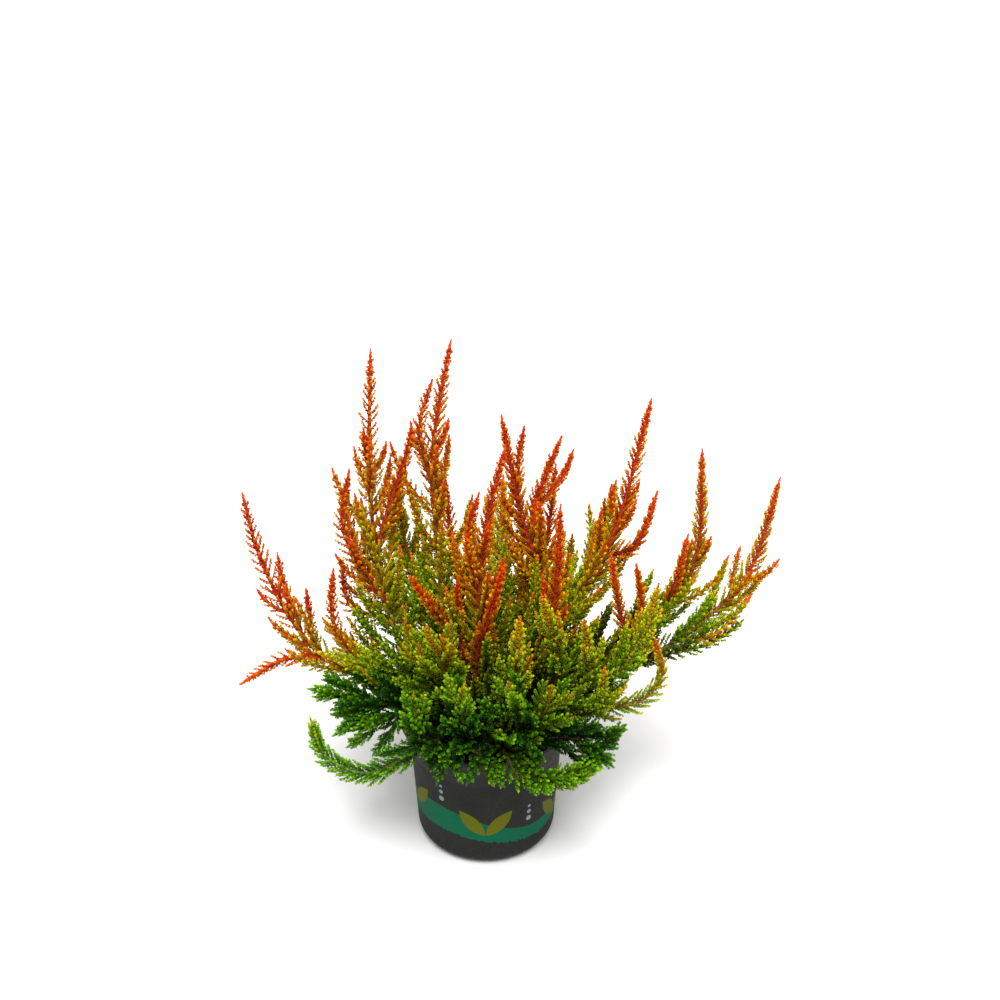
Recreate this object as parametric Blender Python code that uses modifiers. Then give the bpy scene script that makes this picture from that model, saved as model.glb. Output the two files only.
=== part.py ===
"""Potted heather: a moulded nursery pot, its potting soil, and the leafy stems that grow from it.

Metres, +Z up. The origin is on the pot's axis, on the surface that the pot stands on.
Run it in Blender's text editor, or with: blender --background --python part.py
"""
import math
import random

import bmesh
import bpy
import numpy as np
from mathutils import Quaternion, Vector

# Pot, seen from its axis outwards and from the ground up
POT_HEIGHT = 0.090
RIM_RADIUS = 0.0550
LIP_HEIGHT = 0.0028
LIP_OVERHANG = 0.0008
COLLAR_START_HEIGHT = 0.067
COLLAR_START_RADIUS = 0.0482
WALL_FOOT_RADIUS = 0.0446
FOOT_FILLET = 0.011
WALL = 0.0012
FLOOR_THICKNESS = 0.0020
CENTRE_PAD_RADIUS = 0.011
FOOT_RING_RADIUS = 0.029
UNDERSIDE_RECESS = 0.0015
TURNED_STEPS = 28
DRAIN_HOLES = 5
DRAIN_HOLE_SIDES = 6
DRAIN_HOLE_RADIUS = 0.0028
DRAIN_HOLE_PITCH_RADIUS = 0.020

# Potting soil, which fills the pot to below the rim
SOIL_EDGE_HEIGHT = 0.0765
SOIL_CENTRE_HEIGHT = 0.0800
SOIL_SHOULDER_RADIUS = 0.030
SOIL_SHOULDER_DROP = 0.0008
TOUCH_GAP = 0.0003
HOLE_DEPTH = 0.012
STEM_COLLAR = 0.0030
HOLE_SIDES = 6

# Woody stems and side shoots: a section with four sides, its radii at the foot and at the tip
TWIG_SIDES = 4
STEM_FOOT_RADIUS = 0.0022
SIDE_FOOT_RADIUS = 0.0021
TIP_RADIUS = 0.0010
TAPER_POWER = 2.5
SIDE_TO_PARENT = 0.92
JOINT_LENGTH = 0.034
CURVE_STEPS = 12

# Branchlets, the short leafy twigs that stand in opposite pairs on each shoot
BRANCHLET_FULL_LENGTH = 0.0155
BRANCHLET_TIP_LENGTH = 0.0065
BRANCHLET_TAPER_REACH = 0.055
BRANCHLET_RADIUS = 0.0016
BRANCHLET_ROOT_SHARE = 0.66
BRANCHLET_SPACING = 0.0113
BRANCHLET_TIP_SPACING = 0.0070
BRANCHLET_LEAN_LOW = math.radians(48)
BRANCHLET_LEAN_TIP = math.radians(34)
STEM_LEAFY_FROM = 0.32
SIDE_LEAFY_FROM = 0.14
NODE_CLEARANCE = 0.0004
SEED = 27

# How a branchlet that meets another stem is tried again: turned about its twig, then shortened
BRANCHLET_TRIES = [(0, 1), (0.4, 1), (-0.4, 1), (0, 0.7), (0.8, 0.7), (-0.8, 0.7), (0, 0.5)]

SCREW_WELD = 0.00005
SHAPE_WELD = 0.000001
ROUGHNESS = 0.7

COLOURS = {
    "ember": (0.62, 0.17, 0.03, 1.0),
    "amber": (0.50, 0.36, 0.03, 1.0),
    "green": (0.14, 0.30, 0.03, 1.0),
    "soil": (0.045, 0.030, 0.020, 1.0),
    "pot": (0.105, 0.092, 0.082, 1.0),
}

# Each stem has a colour, the place where it leaves the soil, and its shoots. A shoot is a pair:
# where it forks (None from the soil, else the parent shoot's number and the fraction of that
# shoot's length), and the points that it passes through on its way to its tip.
STEMS = {
    "stem_tall_left": ("ember", (-0.016, 0.008), [
        (None, [(-0.050, 0.022, 0.112), (-0.068, 0.048, 0.170), (-0.074, 0.072, 0.218),
                (-0.072, 0.094, 0.298)]),
        ((0, 0.50), [(-0.050, 0.066, 0.238), (-0.046, 0.068, 0.260)]),
        ((0, 0.36), [(-0.088, 0.042, 0.194), (-0.084, 0.044, 0.240)]),
    ]),
    "stem_tall_middle": ("ember", (-0.007, 0.010), [
        (None, [(-0.024, 0.026, 0.120), (-0.030, 0.056, 0.168), (-0.034, 0.082, 0.230),
                (-0.022, 0.104, 0.300)]),
        ((0, 0.62), [(-0.042, 0.088, 0.246), (-0.034, 0.098, 0.276)]),
    ]),
    "stem_long_left": ("ember", (-0.024, 0.005), [
        (None, [(-0.054, 0.014, 0.104), (-0.100, 0.022, 0.114), (-0.126, 0.032, 0.142),
                (-0.144, 0.044, 0.182), (-0.152, 0.050, 0.220)]),
        ((0, 0.50), [(-0.112, 0.030, 0.138), (-0.114, 0.034, 0.160)]),
        ((0, 0.44), [(-0.128, 0.020, 0.116), (-0.158, 0.018, 0.098)]),
    ]),
    "stem_mid_left": ("ember", (-0.022, -0.002), [
        (None, [(-0.066, 0.006, 0.110), (-0.092, 0.014, 0.138), (-0.096, 0.016, 0.162),
                (-0.094, 0.018, 0.184)]),
    ]),
    "stem_leaning_middle": ("ember", (0.009, 0.007), [
        (None, [(0.033, 0.014, 0.118), (0.043, 0.026, 0.144), (0.035, 0.041, 0.170), (0.022, 0.050, 0.206),
                (0.010, 0.058, 0.270)]),
        ((0, 0.72), [(0.020, 0.058, 0.232), (0.024, 0.064, 0.260)]),
    ]),
    "stem_upright_middle": ("ember", (0.000, 0.004), [
        (None, [(-0.004, 0.014, 0.142), (-0.002, 0.024, 0.194), (0.004, 0.030, 0.226),
                (0.012, 0.034, 0.260)]),
        ((0, 0.44), [(-0.010, 0.028, 0.200), (-0.004, 0.032, 0.230)]),
    ]),
    "stem_arched_middle": ("ember", (0.004, 0.016), [
        (None, [(0.030, 0.042, 0.142), (0.029, 0.060, 0.196), (0.038, 0.070, 0.222),
                (0.048, 0.078, 0.246)]),
        ((0, 0.72), [(0.048, 0.074, 0.218), (0.056, 0.080, 0.236)]),
    ]),
    "stem_straight_right": ("ember", (0.011, 0.000), [
        (None, [(0.036, 0.005, 0.134), (0.044, 0.014, 0.176), (0.046, 0.024, 0.226)]),
    ]),
    "stem_tall_right": ("ember", (0.016, 0.013), [
        (None, [(0.036, 0.027, 0.120), (0.054, 0.038, 0.144), (0.072, 0.048, 0.166),
                (0.088, 0.064, 0.206), (0.104, 0.082, 0.270)]),
        ((0, 0.54), [(0.096, 0.048, 0.186), (0.108, 0.056, 0.218)]),
    ]),
    "stem_front_middle": ("ember", (-0.003, -0.005), [
        (None, [(-0.006, -0.006, 0.130), (0.002, -0.008, 0.164), (0.012, -0.006, 0.202)]),
        ((0, 0.22), [(-0.015, 0.003, 0.140), (-0.017, 0.006, 0.186)]),
        ((1, 0.50), [(-0.032, 0.002, 0.166), (-0.046, -0.002, 0.192)]),
    ]),
    "stem_mid_right": ("ember", (0.019, 0.000), [
        (None, [(0.058, 0.004, 0.113), (0.088, 0.016, 0.126), (0.084, 0.020, 0.154),
                (0.078, 0.024, 0.190)]),
        ((0, 0.58), [(0.098, 0.020, 0.148), (0.094, 0.024, 0.184)]),
    ]),
    "stem_far_right": ("ember", (0.024, 0.010), [
        (None, [(0.078, 0.028, 0.118), (0.118, 0.044, 0.142), (0.136, 0.058, 0.174),
                (0.137, 0.074, 0.238)]),
        ((0, 0.52), [(0.120, 0.036, 0.162), (0.127, 0.040, 0.196)]),
    ]),
    "stem_long_right": ("ember", (0.028, 0.004), [
        (None, [(0.066, 0.014, 0.103), (0.116, 0.028, 0.120), (0.150, 0.044, 0.140), (0.173, 0.058, 0.166),
                (0.187, 0.070, 0.220)]),
        ((0, 0.48), [(0.148, 0.032, 0.128), (0.170, 0.040, 0.152)]),
    ]),
    "stem_curled_right": ("amber", (0.026, -0.005), [
        (None, [(0.052, -0.006, 0.099), (0.068, -0.006, 0.098), (0.094, -0.004, 0.099),
                (0.110, 0.001, 0.114), (0.106, 0.006, 0.140)]),
        ((0, 0.38), [(0.080, -0.008, 0.122), (0.098, -0.003, 0.152), (0.106, 0.002, 0.184)]),
    ]),
    "stem_upright_right": ("amber", (0.015, -0.006), [
        (None, [(0.046, -0.014, 0.100), (0.064, -0.017, 0.124), (0.060, -0.017, 0.170)]),
        ((0, 0.22), [(0.045, -0.013, 0.130), (0.034, -0.018, 0.188)]),
    ]),
    "stem_drooping_left": ("green", (-0.023, -0.015), [
        (None, [(-0.037, -0.044, 0.099), (-0.050, -0.050, 0.090), (-0.074, -0.046, 0.076),
                (-0.099, -0.037, 0.083), (-0.108, -0.029, 0.106)]),
    ]),
    "stem_drooping_right": ("green", (0.007, -0.025), [
        (None, [(0.012, -0.051, 0.096), (0.021, -0.063, 0.086), (0.038, -0.066, 0.084),
                (0.056, -0.065, 0.086), (0.067, -0.062, 0.094)]),
    ]),
    "stem_skirt_right": ("green", (0.026, -0.020), [
        (None, [(0.050, -0.038, 0.098), (0.070, -0.045, 0.095), (0.085, -0.043, 0.110)]),
        ((0, 0.55), [(0.066, -0.052, 0.093), (0.074, -0.055, 0.098)]),
    ]),
    "stem_skirt_front_left": ("green", (-0.016, -0.020), [
        (None, [(-0.026, -0.046, 0.102), (-0.038, -0.058, 0.112), (-0.042, -0.057, 0.144)]),
        ((0, 0.52), [(-0.026, -0.062, 0.097), (-0.029, -0.068, 0.086)]),
    ]),
    "stem_skirt_left": ("green", (-0.026, -0.008), [
        (None, [(-0.050, -0.013, 0.103), (-0.078, -0.010, 0.106), (-0.106, -0.006, 0.114)]),
        ((0, 0.52), [(-0.080, -0.018, 0.102), (-0.096, -0.020, 0.102)]),
        ((0, 0.42), [(-0.064, -0.026, 0.101), (-0.082, -0.032, 0.100)]),
    ]),
    "stem_high_left": ("amber", (-0.015, 0.000), [
        (None, [(-0.040, -0.002, 0.112), (-0.062, -0.003, 0.124), (-0.084, -0.001, 0.129),
                (-0.106, 0.002, 0.134)]),
        ((0, 0.34), [(-0.045, 0.008, 0.134), (-0.050, 0.010, 0.152)]),
    ]),
    "stem_skirt_front": ("green", (-0.005, -0.024), [
        (None, [(-0.009, -0.046, 0.102), (-0.013, -0.057, 0.124), (-0.012, -0.055, 0.150)]),
        ((0, 0.44), [(-0.006, -0.060, 0.096), (-0.011, -0.069, 0.086)]),
    ]),
    "stem_skirt_front_right": ("green", (0.013, -0.017), [
        (None, [(0.026, -0.043, 0.106), (0.020, -0.051, 0.126), (0.014, -0.051, 0.148)]),
        ((0, 0.44), [(0.036, -0.044, 0.121), (0.040, -0.044, 0.140)]),
    ]),
    "stem_tuft_right": ("amber", (0.021, -0.013), [
        (None, [(0.048, -0.026, 0.106), (0.068, -0.029, 0.118), (0.073, -0.026, 0.142)]),
        ((0, 0.56), [(0.074, -0.030, 0.118), (0.086, -0.030, 0.130)]),
    ]),
    "stem_front_left": ("green", (-0.011, -0.011), [
        (None, [(-0.025, -0.020, 0.114), (-0.036, -0.024, 0.132), (-0.040, -0.025, 0.156)]),
        ((0, 0.42), [(-0.024, -0.029, 0.134), (-0.025, -0.030, 0.168)]),
    ]),
    "stem_front_right": ("amber", (0.005, -0.013), [
        (None, [(0.011, -0.032, 0.122), (0.018, -0.036, 0.150), (0.021, -0.036, 0.184)]),
        ((0, 0.42), [(0.020, -0.033, 0.134), (0.028, -0.036, 0.156)]),
    ]),
}

# The far side of the plant grows by one rule: each of its stems is a tall shoot with a shorter one
# and a low one beside it. The rows give a shoot's fork on the tall one, its turn from it, and the
# shares of its reach and its heights along the way; the last is at its tip.
BACK_STEMS = 6
BACK_FIRST_AZIMUTH = math.radians(50)
BACK_LAST_AZIMUTH = math.radians(138)
BACK_ROOT_RADIUS = 0.0285
BACK_REACH_SPREAD = 0.012
BACK_HEIGHT_SPREAD = 0.012
BACK_TALL = (None, 0.0, 0.128, [(0.50, 0.122), (0.84, 0.150), (1.0, 0.198)])
BACK_SHORT = (0.40, 0.16, 0.112, [(0.92, 0.132), (1.0, 0.164)])
BACK_LOW = (0.22, -0.15, 0.094, [(0.80, 0.104), (1.0, 0.112)])


def remove_scene_objects():
    for thing in list(bpy.data.objects):
        bpy.data.objects.remove(thing, do_unlink=True)


def new_collection(name):
    collection = bpy.data.collections.new(name)
    bpy.context.scene.collection.children.link(collection)
    return collection


def new_material(name, colour):
    material = bpy.data.materials.new(name)
    material.use_nodes = True
    shader = material.node_tree.nodes["Principled BSDF"]
    shader.inputs["Base Color"].default_value = colour
    shader.inputs["Roughness"].default_value = ROUGHNESS
    shader.inputs["Metallic"].default_value = 0.0
    return material


def object_from_bmesh(name, shape, collection):
    mesh = bpy.data.meshes.new(name)
    shape.to_mesh(mesh)
    shape.free()
    thing = bpy.data.objects.new(name, mesh)
    collection.objects.link(thing)
    return thing


def add_turned(name, profile, collection):
    """A profile of (radius, height) points, turned round the Z axis by a Screw modifier."""
    shape = bmesh.new()
    corners = [shape.verts.new((radius, 0.0, height)) for radius, height in profile]
    for first, second in zip(corners, corners[1:]):
        shape.edges.new((first, second))
    thing = object_from_bmesh(name, shape, collection)
    screw = thing.modifiers.new("Turn", "SCREW")
    screw.steps = TURNED_STEPS
    screw.render_steps = TURNED_STEPS
    screw.use_merge_vertices = True
    screw.merge_threshold = SCREW_WELD
    return thing


def cut_with(thing, cutters):
    cut = thing.modifiers.new("Holes", "BOOLEAN")
    cut.operation = "DIFFERENCE"
    cut.operand_type = "COLLECTION"
    cut.collection = cutters
    cut.solver = "EXACT"


def add_cutter(name, sides, radius, low, high, place, cutters):
    shape = bmesh.new()
    depth = high - low
    bmesh.ops.create_cone(shape, cap_ends=True, segments=sides, radius1=radius, radius2=radius, depth=depth)
    cutter = object_from_bmesh(name, shape, cutters)
    cutter.location = (place[0], place[1], (low + high) / 2)
    cutter.hide_render = True
    cutter.display_type = "WIRE"


def foot_arc(radius, fillet, base_height, steps):
    """The rounded edge between the wall's foot and the flat underside, from the wall down."""
    centre_radius = radius - fillet
    centre_height = base_height + fillet
    arc = []
    for step in range(steps + 1):
        turn = math.pi / 2 * step / steps
        arc.append((centre_radius + fillet * math.cos(turn), centre_height - fillet * math.sin(turn)))
    return arc


def pot_inside():
    """The inside of the pot, from the centre of its floor up to the lip."""
    floor_height = FLOOR_THICKNESS + UNDERSIDE_RECESS
    arc = foot_arc(WALL_FOOT_RADIUS - WALL, FOOT_FILLET - WALL, floor_height, 2)
    inside = [(0.0, floor_height)] + arc[::-1]
    inside += [
        (COLLAR_START_RADIUS - WALL, COLLAR_START_HEIGHT),
        (RIM_RADIUS - LIP_OVERHANG - WALL, POT_HEIGHT - LIP_HEIGHT),
        (RIM_RADIUS - LIP_OVERHANG - WALL, POT_HEIGHT),
    ]
    return inside


def pot_outside():
    """The outside of the pot, from the lip down and under to the centre pad that it stands on."""
    outside = [
        (RIM_RADIUS, POT_HEIGHT),
        (RIM_RADIUS, POT_HEIGHT - LIP_HEIGHT),
        (RIM_RADIUS - LIP_OVERHANG, POT_HEIGHT - LIP_HEIGHT - LIP_OVERHANG),
        (COLLAR_START_RADIUS, COLLAR_START_HEIGHT),
    ]
    outside += foot_arc(WALL_FOOT_RADIUS, FOOT_FILLET, 0.0, 3)
    outside += [
        (FOOT_RING_RADIUS, 0.0),
        (FOOT_RING_RADIUS - UNDERSIDE_RECESS, UNDERSIDE_RECESS),
        (CENTRE_PAD_RADIUS + UNDERSIDE_RECESS, UNDERSIDE_RECESS),
        (CENTRE_PAD_RADIUS, 0.0),
        (0.0, 0.0),
    ]
    return outside


def add_pot(collection, cutters):
    pot = add_turned("pot", pot_inside() + pot_outside(), collection)
    above_floor = 2 * (FLOOR_THICKNESS + UNDERSIDE_RECESS)
    for number in range(DRAIN_HOLES):
        name = f"drain_hole_{number + 1}"
        place = polar(DRAIN_HOLE_PITCH_RADIUS, 2 * math.pi * number / DRAIN_HOLES, 0.0)
        low = -UNDERSIDE_RECESS
        add_cutter(name, DRAIN_HOLE_SIDES, DRAIN_HOLE_RADIUS, low, above_floor, place, cutters)
    cut_with(pot, cutters)
    return pot


def soil_outline():
    """The soil's outline, which keeps the touch gap to the inside of the pot."""
    inside = pot_inside()
    wall = [(radius - TOUCH_GAP, height + TOUCH_GAP) for radius, height in inside[1:-2]]
    rim_inner = inside[-2]
    share = (SOIL_EDGE_HEIGHT - COLLAR_START_HEIGHT) / (rim_inner[1] - COLLAR_START_HEIGHT)
    start_radius = COLLAR_START_RADIUS - WALL
    edge_radius = start_radius + share * (rim_inner[0] - start_radius) - 2 * TOUCH_GAP
    top = [
        (0.0, SOIL_CENTRE_HEIGHT),
        (SOIL_SHOULDER_RADIUS, SOIL_CENTRE_HEIGHT - SOIL_SHOULDER_DROP),
        (edge_radius, SOIL_EDGE_HEIGHT),
    ]
    return top + wall[::-1] + [(0.0, inside[0][1] + TOUCH_GAP)]


def add_soil(collection, cutters, roots):
    soil = add_turned("potting_soil", soil_outline(), collection)
    hole_radius = (STEM_FOOT_RADIUS + TOUCH_GAP) / math.cos(math.pi / HOLE_SIDES)
    for number, root in enumerate(roots):
        low = SOIL_CENTRE_HEIGHT - HOLE_DEPTH
        add_cutter(f"stem_hole_{number + 1}", HOLE_SIDES, hole_radius, low, POT_HEIGHT, root, cutters)
    cut_with(soil, cutters)
    return soil


def back_stems():
    """The stems of the far side, fanned out evenly, each drawn a little longer or shorter."""
    draw = random.Random(SEED)
    stems = {}
    for number in range(BACK_STEMS):
        share = number / (BACK_STEMS - 1)
        azimuth = BACK_FIRST_AZIMUTH + share * (BACK_LAST_AZIMUTH - BACK_FIRST_AZIMUTH)
        rise = draw.uniform(-BACK_HEIGHT_SPREAD, BACK_HEIGHT_SPREAD)
        stretch = draw.uniform(-BACK_REACH_SPREAD, BACK_REACH_SPREAD)
        shoots = []
        for fork_share, turn, reach, stops in (BACK_TALL, BACK_SHORT, BACK_LOW):
            fork = None if fork_share is None else (0, fork_share)
            reach = reach + stretch if fork is None else reach
            points = [polar(share_out * reach, azimuth + turn, height) for share_out, height in stops]
            if fork is None:
                points[-1] = (*points[-1][:2], points[-1][2] + rise)
            shoots.append((fork, points))
        colour = "ember" if number % 2 else "amber"
        stems[f"stem_back_{number + 1}"] = (colour, polar(BACK_ROOT_RADIUS, azimuth, 0.0)[:2], shoots)
    return stems


def polar(radius, azimuth, height):
    return (radius * math.cos(azimuth), radius * math.sin(azimuth), height)


def smooth_curve(points):
    """Points on a Catmull-Rom curve through the given ones; the first and last only set its slopes."""
    curve = []
    for before, start, end, after in zip(points, points[1:], points[2:], points[3:]):
        for step in range(CURVE_STEPS):
            t = step / CURVE_STEPS
            bend = 2 * before - 5 * start + 4 * end - after
            twist = 3 * start - before - 3 * end + after
            curve.append((2 * start + (end - before) * t + bend * t ** 2 + twist * t ** 3) / 2)
    curve.append(points[-2].copy())
    return curve


def walked_lengths(route):
    lengths = [0.0]
    for start, end in zip(route, route[1:]):
        lengths.append(lengths[-1] + (end - start).length)
    return lengths


def place_at(route, distance):
    """The point and the direction at a distance along a route."""
    lengths = walked_lengths(route)
    for start, end, low, high in zip(route, route[1:], lengths, lengths[1:]):
        if distance <= high:
            return start.lerp(end, (distance - low) / (high - low)), (end - start).normalized()
    return route[-1].copy(), (route[-1] - route[-2]).normalized()


def jointed(route):
    """The same route with points at even distances, about one joint length apart."""
    length = walked_lengths(route)[-1]
    joints = max(2, round(length / JOINT_LENGTH))
    return [place_at(route, length * joint / joints)[0] for joint in range(joints + 1)]


class Shoot:
    """One twig: its jointed route, its radii from foot to tip, and where its leafy part starts."""

    def __init__(self, route, foot_radius, leafy_from):
        self.route = route
        self.length = walked_lengths(route)[-1]
        self.foot_radius = foot_radius
        self.leafy_start = leafy_from * self.length

    def radius_at(self, distance):
        share = distance / self.length
        return self.foot_radius + (TIP_RADIUS - self.foot_radius) * share ** TAPER_POWER


def twig_rods(shoot):
    """A twig as rods between its joints, for the clearance between stems."""
    radii = [shoot.radius_at(distance) for distance in walked_lengths(shoot.route)]
    return list(zip(shoot.route, shoot.route[1:], radii))


def grow_shoots(root, shoots):
    """The shoots of one stem as jointed routes, the first from its hole in the soil."""
    grown = []
    for fork, points in shoots:
        ahead = [Vector(point) for point in points]
        beyond = ahead[-1] + (ahead[-1] - ahead[-2]) / 2
        if fork is None:
            foot = Vector((*root, SOIL_CENTRE_HEIGHT - HOLE_DEPTH + TOUCH_GAP))
            collar = Vector((*root, SOIL_CENTRE_HEIGHT + STEM_COLLAR))
            below = collar - Vector((0, 0, (ahead[0] - collar).length))
            curve = smooth_curve([below, collar] + ahead + [beyond])
            grown.append(Shoot([foot] + jointed(curve), STEM_FOOT_RADIUS, STEM_LEAFY_FROM))
        else:
            parent = grown[fork[0]]
            start, direction = place_at(parent.route, fork[1] * parent.length)
            behind = start - direction * (ahead[0] - start).length
            curve = smooth_curve([behind, start] + ahead + [beyond])
            foot_radius = min(SIDE_FOOT_RADIUS, SIDE_TO_PARENT * parent.radius_at(fork[1] * parent.length))
            grown.append(Shoot(jointed(curve), foot_radius, SIDE_LEAFY_FROM))
    return grown


class Neighbours:
    """The twigs and branchlets of every other stem, as round-ended rods (start, end, radius)."""

    def __init__(self, rods):
        self.starts = np.array([tuple(start) for start, _, _ in rods])
        self.ends = np.array([tuple(end) for _, end, _ in rods])
        self.radii = np.array([radius for _, _, radius in rods])

    def room(self, start, end, radius):
        """The clear distance from a new rod to the nearest of them."""
        gaps = rod_distances(np.array(start), np.array(end), self.starts, self.ends)
        return float((gaps - self.radii).min()) - radius


def rod_distances(start, end, starts, ends):
    """Distances from one line segment to many, by clamping the closest points of the two lines."""
    own = end - start
    others = ends - starts
    between = start - starts
    own_square = own @ own
    other_squares = np.einsum("ij,ij->i", others, others)
    cross = others @ own
    own_between = between @ own
    other_between = np.einsum("ij,ij->i", others, between)
    spread = np.maximum(own_square * other_squares - cross ** 2, 1e-18)
    along_own = np.clip((cross * other_between - own_between * other_squares) / spread, 0, 1)
    along_other = np.clip((cross * along_own + other_between) / other_squares, 0, 1)
    along_own = np.clip((cross * along_other - own_between) / own_square, 0, 1)
    offsets = between + along_own[:, None] * own - along_other[:, None] * others
    return np.linalg.norm(offsets, axis=1)


def clear_of_pot(start, end, radius):
    """Whether a rod stays outside the turned shape of the filled pot."""
    margin = radius + NODE_CLEARANCE
    for step in range(5):
        point = start.lerp(end, step / 4)
        reach = math.hypot(point.x, point.y)
        over_wall = COLLAR_START_RADIUS - WALL - radius < reach < RIM_RADIUS + margin
        over_soil = reach <= COLLAR_START_RADIUS
        if over_wall and point.z < POT_HEIGHT + margin:
            return False
        if over_soil and point.z < SOIL_CENTRE_HEIGHT + margin:
            return False
    return True


def branchlet_places(shoot):
    """Distances from the foot where pairs of branchlets sit, with the joint that each one is on."""
    places = []
    lengths = walked_lengths(shoot.route)
    for joint, (low, high) in enumerate(zip(lengths, lengths[1:])):
        low = max(low, shoot.leafy_start)
        share = tip_share(shoot, (low + high) / 2)
        spacing = BRANCHLET_TIP_SPACING + share * (BRANCHLET_SPACING - BRANCHLET_TIP_SPACING)
        pairs = max(0, round((high - low) / spacing))
        places += [(low + (high - low) * (pair + 0.5) / pairs, joint) for pair in range(pairs)]
    return places


def tip_share(shoot, distance):
    """0 at the shoot's tip, rising to 1 where its branchlets have their full length."""
    return min(1.0, (shoot.length - distance) / BRANCHLET_TAPER_REACH)


def side_pairs(twig, route):
    """For each joint of a twig, the outward directions of its four sides, as two opposite pairs."""
    pairs = []
    for start, end in zip(route, route[1:]):
        middle = (start + end) / 2
        direction = (end - start).normalized()
        nearest = sorted(twig.data.polygons, key=lambda face: (face.center - middle).length)[:TWIG_SIDES]
        sides = [(face.normal - direction * face.normal.dot(direction)).normalized() for face in nearest]
        first = sides.pop(0)
        opposite = min(sides, key=first.dot)
        sides.remove(opposite)
        pairs.append([(first, opposite), tuple(sides)])
    return pairs


def grow_branchlets(shoot, pairs, neighbours, draw):
    """The branchlets of one shoot, each turned or shortened until it is clear of every other stem."""
    branchlets = []
    for count, (distance, joint) in enumerate(branchlet_places(shoot)):
        root, direction = place_at(shoot.route, distance)
        share = tip_share(shoot, distance)
        lean = BRANCHLET_LEAN_LOW * share + BRANCHLET_LEAN_TIP * (1 - share)
        radius = min(BRANCHLET_RADIUS, BRANCHLET_ROOT_SHARE * shoot.radius_at(distance))
        for side in pairs[joint][count % 2]:
            length = BRANCHLET_FULL_LENGTH * share + BRANCHLET_TIP_LENGTH * (1 - share)
            length *= draw.uniform(0.85, 1.15)
            for turn, shorten in BRANCHLET_TRIES:
                sideways = Quaternion(direction, turn) @ side
                axis = direction * math.cos(lean) + sideways * math.sin(lean)
                end = root + axis * length * shorten
                if clear_of_pot(root, end, radius) and neighbours.room(root, end, radius) > NODE_CLEARANCE:
                    branchlets.append((root, end, radius))
                    break
    return branchlets


def add_twig(name, shoot, section, collection):
    """A twig as a tapered curve with the section's four sides, turned into a closed mesh."""
    curve = bpy.data.curves.new(name, "CURVE")
    curve.dimensions = "3D"
    curve.bevel_mode = "OBJECT"
    curve.bevel_object = section
    curve.use_fill_caps = True
    spline = curve.splines.new("POLY")
    spline.points.add(len(shoot.route) - 1)
    for point, place, distance in zip(spline.points, shoot.route, walked_lengths(shoot.route)):
        point.co = (*place, 1.0)
        point.radius = shoot.radius_at(distance)
    guide = bpy.data.objects.new(name, curve)
    collection.objects.link(guide)
    shape = bmesh.new()
    shape.from_mesh(evaluated_mesh(guide))
    bpy.data.objects.remove(guide, do_unlink=True)
    bmesh.ops.remove_doubles(shape, verts=shape.verts, dist=SHAPE_WELD)
    bmesh.ops.recalc_face_normals(shape, faces=shape.faces)
    return object_from_bmesh(name, shape, collection)


def add_twig_section(collection):
    """The section that every twig is swept from: a closed outline of radius 1, scaled at each point."""
    curve = bpy.data.curves.new("twig_section", "CURVE")
    spline = curve.splines.new("POLY")
    spline.points.add(TWIG_SIDES - 1)
    spline.use_cyclic_u = True
    for number, point in enumerate(spline.points):
        turn = 2 * math.pi * number / TWIG_SIDES
        point.co = (math.cos(turn), math.sin(turn), 0.0, 1.0)
    section = bpy.data.objects.new("twig_section", curve)
    collection.objects.link(section)
    return section


def evaluated_mesh(thing):
    depsgraph = bpy.context.evaluated_depsgraph_get()
    return bpy.data.meshes.new_from_object(thing.evaluated_get(depsgraph))


def add_branchlet(name, root, end, radius, collection):
    """A branchlet as a cone with three sides, its wide end sunk to the twig's axis."""
    shape = bmesh.new()
    length = (end - root).length
    bmesh.ops.create_cone(shape, cap_ends=True, segments=3, radius1=radius, radius2=0.0, depth=length)
    bmesh.ops.remove_doubles(shape, verts=shape.verts, dist=SHAPE_WELD)
    branchlet = object_from_bmesh(name, shape, collection)
    branchlet.location = (root + end) / 2
    branchlet.rotation_euler = (end - root).to_track_quat("Z", "Y").to_euler()
    return branchlet


def add_stem(name, shoots, neighbours, draw, section, collection):
    """One leafy stem: its first twig, joined with its side twigs and branchlets by one union."""
    repeats = new_collection(name + "_repeats")
    stem = add_twig(name, shoots[0], section, collection)
    twigs = [stem] + [add_twig(f"{name}_side", shoot, section, repeats) for shoot in shoots[1:]]
    branchlets = []
    for shoot, twig in zip(shoots, twigs):
        branchlets += grow_branchlets(shoot, side_pairs(twig, shoot.route), neighbours, draw)
    for number, (root, end, radius) in enumerate(branchlets):
        add_branchlet(f"{name}_branchlet_{number + 1}", root, end, radius, repeats)
    union = stem.modifiers.new("Join", "BOOLEAN")
    union.operation = "UNION"
    union.operand_type = "COLLECTION"
    union.collection = repeats
    union.solver = "EXACT"
    joined = evaluated_mesh(stem)
    stem.modifiers.clear()
    stem.data = joined
    joined.name = name
    for thing in list(repeats.objects):
        bpy.data.objects.remove(thing, do_unlink=True)
    bpy.data.collections.remove(repeats)
    return stem, branchlets


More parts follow.
